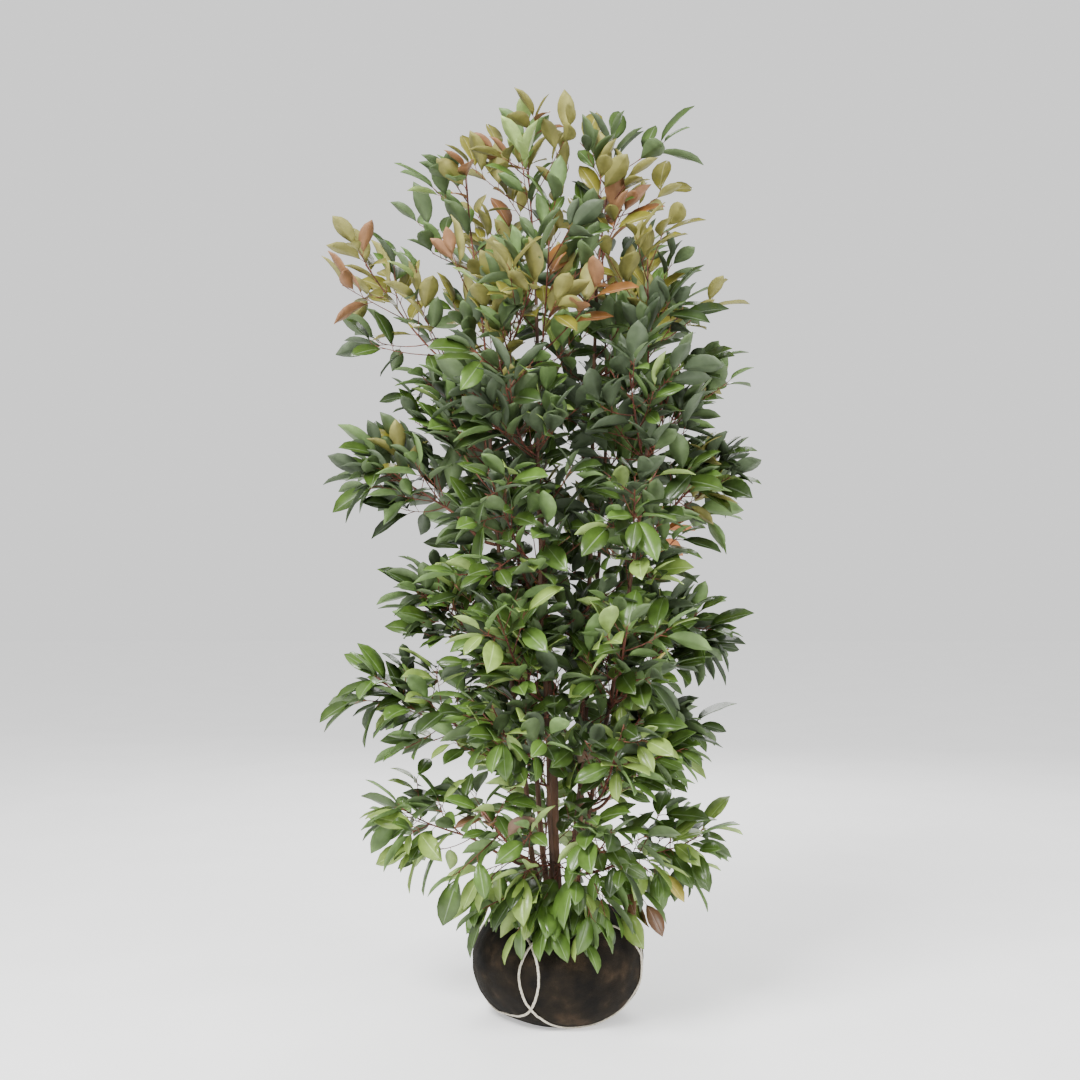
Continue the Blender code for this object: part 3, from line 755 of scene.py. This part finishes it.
def leaves_of(line, count, spread, crown, index, rng):
    """Places for leaves on the outer part of a line, crowded towards its tip."""
    places = []
    ways = tangents(line)
    turn = rng.uniform(0, 2 * math.pi)
    for number in range(count):
        share = 1.0 - spread * (number / count) ** LEAF_CROWDING
        root, low = spot_on(line, share)
        axis = ways[low + 1]
        lean = blended(INNER_LEAN, OUTER_LEAN, max(0.0, (share - (1 - spread)) / spread))
        for _ in range(LEAF_TRIES):
            turn += GOLDEN_ANGLE
            bent = lean + rng.uniform(-LEAN_SCATTER, LEAN_SCATTER)
            out = Matrix.Rotation(turn, 3, axis) @ axis.orthogonal().normalized()
            along = (axis * math.cos(bent) + out * math.sin(bent) - UP * droop_at(root.z)).normalized()
            length = LEAF_LENGTH * rng.uniform(*LEAF_SCATTER) * (END_LEAF if number == 0 else 1.0)
            place = leaf_place(root, along, rng.uniform(-MOST_LEAF_TURN, MOST_LEAF_TURN), length)
            turned = np.array(place)
            if crown.admits(LEAF_PROBES @ turned[:3, :3].T + turned[:3, 3], index):
                places.append(place)
                break
    return places


def bent_twig(root, way, length, rise):
    """A twig that sets out along way and bends up by rise, or down where rise is negative."""
    knee = root + way * (0.5 * length)
    tip = knee + (way + UP * rise).normalized() * (0.5 * length)
    low_pull, high_pull = blended(root, knee, TWIG_EASING), blended(tip, knee, TWIG_EASING)
    return [bezier(root, low_pull, high_pull, tip, t) for t in taper(0.0, 1.0, TWIG_STATIONS)]


def side_twig(stem_line, share, turn, length, rng):
    """A twig that leaves the mass's stem and bends up."""
    root, low = spot_on(stem_line, share)
    axis = (stem_line[low + 1] - stem_line[low]).normalized()
    out = Matrix.Rotation(turn, 3, axis) @ axis.orthogonal().normalized()
    lean = rng.uniform(*TWIG_LEANS)
    way = (axis * math.cos(lean) + out * math.sin(lean)).normalized()
    return bent_twig(root, way, length, rng.uniform(*TWIG_RISES))


def spray_colour(height, rng):
    """Base colour of a spray of leaves at that height."""
    weights = next(weights for limit, weights in SPRAY_MIX if height < limit)
    return rng.choices(list(weights), list(weights.values()))[0]


def neighbour_colour(colour, rng):
    """Most leaves share their spray's colour, and some are a shade darker or lighter."""
    if colour in SHADES and rng.random() < SHADE_CHANCE:
        spot = SHADES.index(colour) + rng.choice((-1, 1))
        return SHADES[max(0, min(len(SHADES) - 1, spot))]
    if colour == "bronze" and rng.random() < OLIVE_CHANCE:
        return "olive"
    if colour in ACCENTS and rng.random() < PLAIN_CHANCE:
        return "mid"
    return colour


def coloured(places, height, rng):
    """The places of one spray's leaves, each with its colour."""
    colour = spray_colour(height, rng)
    return [(place, neighbour_colour(colour, rng)) for place in places]


def grow_mass(mass, index, crown):
    """The mass's stem line, its side twigs, and the leaves of both with their colours."""
    rng = random.Random(mass.seed)
    line, _ = smooth_line(mass.stem.points, mass.stem.radii, MASS_STEM_STEPS)
    run = sum((b - a).length for a, b in zip(line, line[1:]))
    twigs = []
    colour = spray_colour(line[-1].z, rng)
    places = leaves_of(line, LEAVES_ON_STEM, STEM_LEAF_SHARE, crown, index, rng)
    leaves = [(place, neighbour_colour(colour, rng)) for place in places]
    turn = rng.uniform(0, 2 * math.pi)
    most = TWIGS_IN_MASS if mass.centre.z > FOOT_LIMIT else TWIGS_IN_FOOT_MASS
    for number in range(most):
        share = FIRST_TWIG + TWIG_SPAN * (number + rng.uniform(0, TWIG_SCATTER)) / most
        for _ in range(TWIG_TRIES):
            turn += GOLDEN_ANGLE
            gain = INNER_TWIG_GAIN - TWIG_SHORTENING * share
            length = min(MOST_TWIG, run * rng.uniform(*TWIG_SHARES) * gain)
            twig = side_twig(line, share, turn, length, rng)
            if crown.admits(np.array([list(p) for p in twig[2:]]), index):
                break
        else:
            continue
        places = leaves_of(twig, LEAVES_ON_TWIG, TWIG_LEAF_SHARE, crown, index, rng)
        if places:
            twigs.append(twig)
            leaves += coloured(places, twig[-1].z, rng)
    return line, twigs, leaves


def grow_shoots(stems, crown):
    """Leafy shoots straight from the main stems, which fill the middle of the crown."""
    rng = random.Random(SHOOT_SEED)
    starts = []
    for stem in stems:
        turn = rng.uniform(0, 360)
        height = SHOOTS_FROM
        while height < stem.points[-1].z:
            turn += math.degrees(GOLDEN_ANGLE)
            length = rng.uniform(*SHOOT_LENGTHS)
            starts.append((stem.at_height(height), turn, length, SHOOT_RISE, SHOOT_LIFT))
            height += SHOOT_STEP * rng.uniform(*SHOOT_SPACING)
    # Low shoots in front bend down over the shoulder of the ball.
    for number in range(HANGING_SHOOTS):
        stem = stems[number % len(stems)]
        turn = blended(*HANGING_WAYS, number / (HANGING_SHOOTS - 1))
        root = stem.at_height(rng.uniform(*HANGING_HEIGHTS))
        starts.append((root, turn, rng.uniform(*HANGING_LENGTHS), HANGING_RISE, HANGING_LIFT))
    twigs, leaves = [], []
    for root, turn, length, rise, lift in starts:
        way = (direction_of(turn) + UP * lift).normalized()
        twig = bent_twig(root, way, length, rise)
        if not crown.admits(np.array([list(p) for p in twig[3:]])):
            continue
        places = leaves_of(twig, LEAVES_ON_TWIG, TWIG_LEAF_SHARE, crown, None, rng)
        if places:
            twigs.append(twig)
            leaves += coloured(places, twig[-1].z, rng)
    return twigs, leaves


# Root ball and twine


def lump(angle, height):
    """Factor on the ball's radius at that angle and height, for its swellings and its dent."""
    wave = sum(size * math.sin(rate * angle + phase) for rate, size, phase in SWELLS)
    aside = (angle - math.radians(DENT_WAY) + math.pi) % (2 * math.pi) - math.pi
    dent = math.exp(-(aside / DENT_SPREAD) ** 2)
    low = max(0.0, 1.0 - height / BALL_WAIST)
    return 1.0 + wave * min(1.0, height / SWELL_START) - DENT_SHARE * dent * low


def flank_point(turn):
    """Level and height of the ball's outline, turn running from the foot, -90 degrees, upwards."""
    if turn < 0:
        level = BALL_FOOT_RADIUS + (BALL_RADIUS - BALL_FOOT_RADIUS) * math.cos(turn)
        return level, BALL_WAIST * (1.0 + math.sin(turn))
    return BALL_RADIUS * math.cos(turn), BALL_WAIST + BALL_SHOULDER * math.sin(turn)


def round_spot(turn, height, scale):
    """Where a noise is read for a point of something round, so that it closes on itself."""
    return Vector((math.cos(turn) * scale, math.sin(turn) * scale, height))


def cloth_relief(angle, height):
    """How far the wrap stands in from the ball: gathers towards the rim and the foot, and creases."""
    upper = max(0.0, (height - GATHERS_ABOVE) / GATHER_SPAN)
    lower = max(0.0, (GATHERS_BELOW - height) / GATHERS_BELOW)
    around, upwards = WOBBLE_SCALES
    wobble = GATHER_WOBBLE * noise.noise(round_spot(angle, height * upwards, around))
    gather = 0.5 + 0.5 * math.cos(GATHER_COUNT * angle + wobble)
    around, upwards = CREASE_SCALES
    spot = round_spot(angle, height * upwards, around)
    crease = 1.0 - abs(noise.noise(spot)) * CREASE_SHARPNESS
    fine = noise.noise(spot * FINE_SCALE)
    gathered = GATHER_DEPTH * gather * (upper**GATHER_GROWTH + FOOT_GATHER * lower)
    return gathered + CRUMPLE * (CREASE_SHARE * max(0.0, crease) + FINE_SHARE * fine)


def cloth_profile():
    """Levels and heights of the cloth from the middle of the foot to its rolled edge under the soil."""
    rim_turn = math.acos(RIM_RADIUS / BALL_RADIUS)
    profile = [(0.0, 0.0), (0.5 * BALL_FOOT_RADIUS, 0.0)]
    profile += [flank_point(turn) for turn in taper(-math.pi / 2, rim_turn, FLANK_STATIONS)]
    rim_level, rim_height = profile[-1]
    for turn in taper(EDGE_TURN, math.pi, EDGE_STEPS):
        level = rim_level - EDGE_ROLL + EDGE_ROLL * math.cos(turn)
        profile.append((level, rim_height + EDGE_ROLL * math.sin(turn)))
    profile.append((rim_level - EDGE_TUCK, SOIL_LEVEL - EDGE_UNDER_SOIL))
    return profile, rim_height


def crumple_cloth(shape, rim_height):
    """Gives the turned ball its lumps, its folds and a ragged rim."""
    for vert in shape.verts:
        level = math.hypot(vert.co.x, vert.co.y)
        if level < FLAT_SHARE * BALL_FOOT_RADIUS and vert.co.z < FLAT_BELOW:
            continue
        angle = math.atan2(vert.co.y, vert.co.x)
        wide = lump(angle, vert.co.z)
        inward = cloth_relief(angle, vert.co.z) * min(1.0, FOLD_AT_FOOT + vert.co.z / FOLD_START)
        ragged = 0.0
        if vert.co.z > rim_height - RAG_START:
            ragged = EDGE_RAG * noise.noise(round_spot(angle, RAG_LEVEL, RAG_SCALE))
        new_level = level * wide - inward
        vert.co.x *= new_level / level
        vert.co.y *= new_level / level
        vert.co.z += ragged


def fill_dish(shape):
    """A disc of lumpy soil in the dish, in slot 1."""
    disc = bmesh.ops.create_circle(shape, cap_ends=True, segments=DISH_SIDES, radius=DISH_RADIUS)["verts"]
    rings = [next(face for face in shape.faces if len(face.verts) == DISH_SIDES)]
    for _ in range(DISH_RINGS):
        inner = bmesh.ops.inset_region(
            shape, faces=rings, thickness=DISH_RADIUS / (DISH_RINGS + 1), use_even_offset=True
        )
        disc += [vert for face in inner["faces"] for vert in face.verts]
    for vert in set(disc):
        if vert.is_valid:
            spot = Vector((vert.co.x * LUMP_SCALE, vert.co.y * LUMP_SCALE, LUMP_LEVEL))
            lumpy = SOIL_LUMPS * noise.noise(spot) + SOIL_CRUMBS * noise.noise(spot * CRUMB_SCALE)
            vert.co.z = SOIL_LEVEL - SOIL_SINK + lumpy
    for face in shape.faces:
        inside = all(math.hypot(v.co.x, v.co.y) < DISH_RADIUS + DISH_SLACK for v in face.verts)
        if inside and all(abs(v.co.z - SOIL_LEVEL) < SOIL_SLACK for v in face.verts):
            face.material_index = 1
            if face.normal.z < 0:
                face.normal_flip()


def wrapped_ball(cloth, soil):
    """The cloth's skin over the ball with its gathered rim, and the soil in the dish."""
    profile, rim_height = cloth_profile()
    shape = bmesh.new()
    line = [shape.verts.new((level, 0.0, height)) for level, height in profile]
    edges = [shape.edges.new(pair) for pair in zip(line, line[1:])]
    bmesh.ops.spin(
        shape, geom=line + edges, cent=(0, 0, 0), axis=UP, angle=2 * math.pi, steps=BALL_STEPS, use_merge=True
    )
    bmesh.ops.remove_doubles(shape, verts=shape.verts, dist=1e-5)
    crumple_cloth(shape, rim_height)
    bmesh.ops.recalc_face_normals(shape, faces=shape.faces)
    fill_dish(shape)
    made = finished_piece("wrapped_root_ball", shape, [cloth, soil])
    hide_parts("root_ball")
    return made


def eased(values):
    """Each value of a closed line drawn halfway to its neighbours'."""
    count = len(values)
    return [(values[i - 1] + values[i] * 2 + values[(i + 1) % count]) / 4 for i in range(count)]


def levelled(normals):
    """Each direction of a closed line turned to the middle of its neighbours' and its own."""
    count = len(normals)
    return [(normals[i - 1] + normals[i] + normals[(i + 1) % count]).normalized() for i in range(count)]


def twine_loop(name, surface, lift, finish):
    """A twisted strand round the ball in its loop's plane, lying in the cloth."""
    degrees, distance = TWINE_LOOPS[name]
    facing = direction_of(degrees)
    along = UP.cross(facing)
    middle = facing * distance + UP * BALL_WAIST
    points, normals = [], []
    for station in range(TWINE_STATIONS):
        turn = 2 * math.pi * station / TWINE_STATIONS
        out = along * math.cos(turn) + UP * math.sin(turn)
        where, normal, _, _ = surface.ray_cast(middle + out * (2 * BALL_RADIUS), -out)
        points.append(where)
        normals.append(normal)
    # A taut strand spans the small creases, so its line is eased along its length.
    for _ in range(TWINE_EASING):
        points = eased(points)
        normals = levelled(normals)
    shape = bmesh.new()
    rings = []
    for i in range(TWINE_STATIONS):
        way = (points[(i + 1) % TWINE_STATIONS] - points[i - 1]).normalized()
        outward = (normals[i] - way * normals[i].dot(way)).normalized()
        side = outward.cross(way)
        centre = points[i] + outward * (TWINE_RADIUS * TWINE_SEAT + lift(points[i]))
        centre.z = max(centre.z, TWINE_RADIUS * TWINE_LOWEST)
        ring = []
        for k in range(TWINE_SIDES):
            turn = 2 * math.pi * k / TWINE_SIDES
            strand = 1.0 + STRAND_DEPTH * math.cos(STRANDS * turn + STRAND_TURN * i)
            reach = side * (TWINE_WIDE * math.cos(turn)) + outward * (TWINE_FLAT * math.sin(turn))
            ring.append(shape.verts.new(centre + reach * TWINE_RADIUS * strand))
        rings.append(ring)
    for ring, following in zip(rings, rings[1:] + rings[:1]):
        for k in range(TWINE_SIDES):
            j = (k + 1) % TWINE_SIDES
            shape.faces.new((ring[k], ring[j], following[j], following[k]))
    bmesh.ops.recalc_face_normals(shape, faces=shape.faces)
    made = finished_piece(name.replace("twine", "strand"), shape, [finish])
    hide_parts(name)


def no_lift(point):
    """The lower loops lie on the cloth all round."""
    return 0.0


def lift_over(point):
    """How far an upper loop rises at that point to pass over the lower ones."""
    rise = 0.0
    for under in list(TWINE_LOOPS)[0::2]:
        degrees, distance = TWINE_LOOPS[under]
        offset = abs(point.dot(direction_of(degrees)) - distance) / CROSSING_REACH
        ease = max(0.0, min(1.0, 2.0 - offset))
        rise = max(rise, CROSSING_LIFT * ease * ease * (3 - 2 * ease))
    return rise


def bind_ball(ball, finish):
    """The first and third loops lie on the cloth, and the second and fourth cross over them."""
    mesh = ball.data
    corners = [vert.co.copy() for vert in mesh.vertices]
    surface = BVHTree.FromPolygons(corners, [face.vertices[:] for face in mesh.polygons])
    for number, name in enumerate(TWINE_LOOPS):
        twine_loop(name, surface, lift_over if number % 2 else no_lift, finish)


# Finishes


class Nodes:
    """A material on Object coordinates, with short calls for its noises, ramps and bump."""

    def __init__(self, name):
        self.made = bpy.data.materials.new(name)
        self.made.use_nodes = True
        self.tree = self.made.node_tree
        self.shader = self.tree.nodes["Principled BSDF"]
        self.place = self.tree.nodes.new("ShaderNodeTexCoord").outputs["Object"]

    def add(self, kind, **values):
        node = self.tree.nodes.new(kind)
        for key, value in values.items():
            node.inputs[key].default_value = value
        return node

    def noise(self, scale, detail=3.0, stretch=None):
        node = self.add("ShaderNodeTexNoise", Scale=scale, Detail=detail)
        source = self.place
        if stretch:
            mapping = self.add("ShaderNodeMapping", Scale=stretch)
            self.tree.links.new(self.place, mapping.inputs["Vector"])
            source = mapping.outputs["Vector"]
        self.tree.links.new(source, node.inputs["Vector"])
        return node.outputs["Fac"]

    def ramp(self, factor, stops):
        node = self.tree.nodes.new("ShaderNodeValToRGB")
        while len(node.color_ramp.elements) < len(stops):
            node.color_ramp.elements.new(0.5)
        for element, (spot, colour) in zip(node.color_ramp.elements, stops):
            element.position = spot
            element.color = (*colour, 1.0)
        self.tree.links.new(factor, node.inputs["Fac"])
        return node.outputs["Color"]

    def bump(self, height, strength, distance):
        node = self.add("ShaderNodeBump", Strength=strength, Distance=distance)
        self.tree.links.new(height, node.inputs["Height"])
        self.tree.links.new(node.outputs["Normal"], self.shader.inputs["Normal"])

    def colour(self, noise, *stops):
        """Base colour that follows a noise through the stops of a ramp."""
        self.tree.links.new(self.ramp(noise, stops), self.shader.inputs["Base Color"])

    def surface(self, values):
        """Sets the shader's own sockets by name."""
        for name, value in values.items():
            self.shader.inputs[name].default_value = value


def scaled(colour, by):
    return tuple(min(1.0, c * by) for c in colour)


def paler(colour, share):
    return tuple(c + (PALE_GREY - c) * share for c in colour)


def leaf_finish(name, colour, roughness, coat):
    """A leaf's skin: its base colour with soft blotches, a fine grain and a waxy gloss."""
    look = Nodes(name)
    blotch = look.noise(34.0, 4.0)
    look.colour(blotch, (0.30, scaled(colour, 0.72)), (0.55, colour), (0.75, scaled(colour, 1.32)))
    look.bump(look.noise(420.0, 2.0), 0.22, 0.0006)
    look.surface({
        "Roughness": roughness,
        "Coat Weight": coat,
        "Coat Roughness": 0.20,
        "Specular IOR Level": 0.35,
    })
    return look.made


def leaf_finishes():
    """For each leaf colour: upper skin, midrib, underside and stalk."""
    stalk = leaf_finish("leaf_stalk", LEAF_STALK_RED, 0.5, 0.0)
    sets = {}
    for name, colour in LEAF_COLOURS.items():
        rib = paler(scaled(colour, 1.6), RIB_PALENESS)
        under = paler(scaled(colour, 1.25), UNDER_PALENESS)
        sets[name] = [
            leaf_finish(f"leaf_{name}", colour, 0.42, 0.38),
            leaf_finish(f"midrib_{name}", rib, 0.45, 0.1),
            leaf_finish(f"underside_{name}", under, 0.55, 0.0),
            stalk,
        ]
    return sets


def bark_finish(name, dark, light, scale):
    """Brown bark with streaks along the stem."""
    look = Nodes(name)
    streak = look.noise(scale, 5.0, (1.0, 1.0, 0.16))
    look.colour(streak, (0.32, dark), (0.56, light), (0.78, scaled(light, 1.7)))
    look.bump(streak, 0.7, 0.0015)
    look.surface({"Roughness": 0.78})
    return look.made


def cloth_finish():
    """Dark matted wrap with soil rubbed into it."""
    look = Nodes("wrap_felt")
    rubbed = look.noise(19.0, 6.0)
    dark, middle, light = (0.005, 0.004, 0.003), (0.014, 0.010, 0.006), (0.050, 0.032, 0.018)
    look.colour(rubbed, (0.36, dark), (0.56, middle), (0.76, light))
    look.bump(look.noise(330.0, 5.0), 0.85, 0.0022)
    look.surface({"Roughness": 0.95, "Specular IOR Level": 0.2})
    return look.made


def soil_finish():
    """Dark soil with paler crumbs."""
    look = Nodes("soil")
    crumbs = look.noise(95.0, 6.0)
    dark, middle, light = (0.012, 0.008, 0.005), (0.045, 0.026, 0.015), (0.12, 0.07, 0.04)
    look.colour(crumbs, (0.35, dark), (0.6, middle), (0.8, light))
    look.bump(look.noise(240.0, 6.0), 1.0, 0.003)
    look.surface({"Roughness": 1.0})
    return look.made


def twine_finish():
    """Pale fibrous twine."""
    look = Nodes("twine_fibre")
    look.colour(look.noise(260.0, 4.0), (0.35, (0.42, 0.37, 0.28)), (0.65, (0.72, 0.67, 0.56)))
    look.bump(look.noise(700.0, 3.0), 0.6, 0.0006)
    look.surface({"Roughness": 0.7})
    return look.made


def floor_finish():
    """Pale floor with a glow of its own, so that it meets the surround without an edge."""
    look = Nodes("floor")
    look.colour(look.noise(3.0, 2.0), (0.4, (0.90, 0.90, 0.90)), (0.6, (0.93, 0.93, 0.93)))
    look.surface({"Roughness": 0.9, "Emission Color": (1.0, 1.0, 1.0, 1.0), "Emission Strength": FLOOR_GLOW})
    return look.made


# Stage


def lay_floor():
    """A wide level floor under the plant."""
    shape = bmesh.new()
    bmesh.ops.create_grid(shape, x_segments=2, y_segments=2, size=FLOOR_SIZE)
    mesh = bpy.data.meshes.new("floor")
    shape.to_mesh(mesh)
    shape.free()
    mesh.materials.append(floor_finish())
    floor = bpy.data.objects.new("floor", mesh)
    bpy.context.scene.collection.objects.link(floor)


def set_surround():
    """A white surround that shows brighter than the light that it gives."""
    world = bpy.data.worlds.new("studio")
    world.use_nodes = True
    tree = world.node_tree
    seen = tree.nodes.new("ShaderNodeLightPath").outputs["Is Camera Ray"]
    strength = tree.nodes.new("ShaderNodeMapRange")
    strength.inputs["To Min"].default_value = SURROUND_LIGHT
    strength.inputs["To Max"].default_value = SURROUND_SEEN
    tree.links.new(seen, strength.inputs["Value"])
    tree.nodes["Background"].inputs["Color"].default_value = (1.0, 1.0, 1.0, 1.0)
    tree.links.new(strength.outputs["Result"], tree.nodes["Background"].inputs["Strength"])
    bpy.context.scene.world = world


def hang_lights():
    """Soft square lamps that face the middle of the crown."""
    for name, (place, size, power) in LIGHTS.items():
        lamp = bpy.data.lights.new(name, "AREA")
        lamp.size = size
        lamp.energy = power
        made = bpy.data.objects.new(name, lamp)
        made.location = place
        facing = Vector(LIGHT_TARGET) - Vector(place)
        made.rotation_euler = facing.to_track_quat("-Z", "Y").to_euler()
        bpy.context.scene.collection.objects.link(made)


def set_camera():
    """The photograph's viewpoint: level, at chest height, almost straight in front."""
    lens = bpy.data.cameras.new("camera")
    lens.sensor_width = SENSOR
    lens.lens = LENS
    camera = bpy.data.objects.new("camera", lens)
    camera.location = CAMERA_PLACE
    camera.rotation_euler = (math.radians(90.0), 0.0, 0.0)
    bpy.context.scene.collection.objects.link(camera)
    bpy.context.scene.camera = camera


# Pieces in place of the solids


def bark_ripple(point, turn):
    """Small swellings round and along a stem."""
    around, upwards, across = BARK_SWELL_SCALES
    spot = round_spot(turn, point.z * upwards + point.x * across, around)
    return 1.0 + BARK_SWELL * noise.noise(spot)


def dress_limbs(name, limbs, sides, steps, finish):
    """One piece with bark relief in place of the limbs of one kind."""
    tubes = []
    for limb in limbs:
        line, radii = smooth_line(limb.points, limb.radii, steps)
        tubes.append(tube_arrays(line, radii, sides, bark_ripple))
    made = joined_tubes(name, tubes, [finish])
    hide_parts(*[limb.name for limb in limbs])


def leaf_group(height):
    """Name of the piece that holds the leaves at that height."""
    return next(name for name, limit in LEAF_GROUPS.items() if height < limit)


def tapered_tube(line, diameter, tip_diameter, sides):
    return tube_arrays(line, taper(diameter / 2, tip_diameter / 2, len(line)), sides)


def twig_tubes(twigs):
    return [tapered_tube(twig, TWIG_DIAMETER, TWIG_TIP_DIAMETER, TWIG_SIDES) for twig in twigs]


def dress_foliage(stems, masses, crown):
    """Twigs in one piece, and the leaves in five pieces by height, in place of the masses."""
    tubes, grown = [], []
    homes = {name: [] for name in LEAF_GROUPS}
    for index, mass in enumerate(masses):
        line, twigs, leaves = grow_mass(mass, index, crown)
        tubes.append(tapered_tube(line, MASS_STEM_DIAMETER, MASS_TIP_DIAMETER, MASS_STEM_SIDES))
        tubes += twig_tubes(twigs)
        grown += leaves
        homes[leaf_group(mass.centre.z)].append(mass.name)
    twigs, leaves = grow_shoots(stems, crown)
    tubes += twig_tubes(twigs)
    grown += leaves
    groups = {name: [] for name in LEAF_GROUPS}
    for place, colour in grown:
        groups[leaf_group(place.translation.z)].append((place, colour))
    twig_piece = joined_tubes("twigs", tubes, [bark_finish("young_twig", *TWIG_BARK)])
    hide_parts(*[mass.name for mass in masses])
    template = leaf_template()
    finish_sets = leaf_finishes()
    for name, leaves in groups.items():
        piece = joined_leaves(name, template, leaves, finish_sets)
        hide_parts(*homes[name])


def main():
    set_camera()
    lay_floor()
    set_surround()
    hang_lights()
    ball = wrapped_ball(cloth_finish(), soil_finish())
    bind_ball(ball, twine_finish())
    stems = {name: grow_stem(name, STEM_SEED + order) for order, name in enumerate(STEMS)}
    limbs, masses = plan_sides(stems)
    masses += plan_leaders(stems)
    crown = Crown(list(stems.values()) + limbs, masses)
    stem_bark, limb_bark = bark_finish("stem_bark", *STEM_BARK), bark_finish("limb_bark", *LIMB_BARK)
    dress_limbs("stems", list(stems.values()), STEM_SIDES, STEM_STEPS, stem_bark)
    dress_limbs("side_limbs", limbs, SIDE_LIMB_SIDES, SIDE_LIMB_STEPS, limb_bark)
    dress_foliage(list(stems.values()), masses, crown)


main()
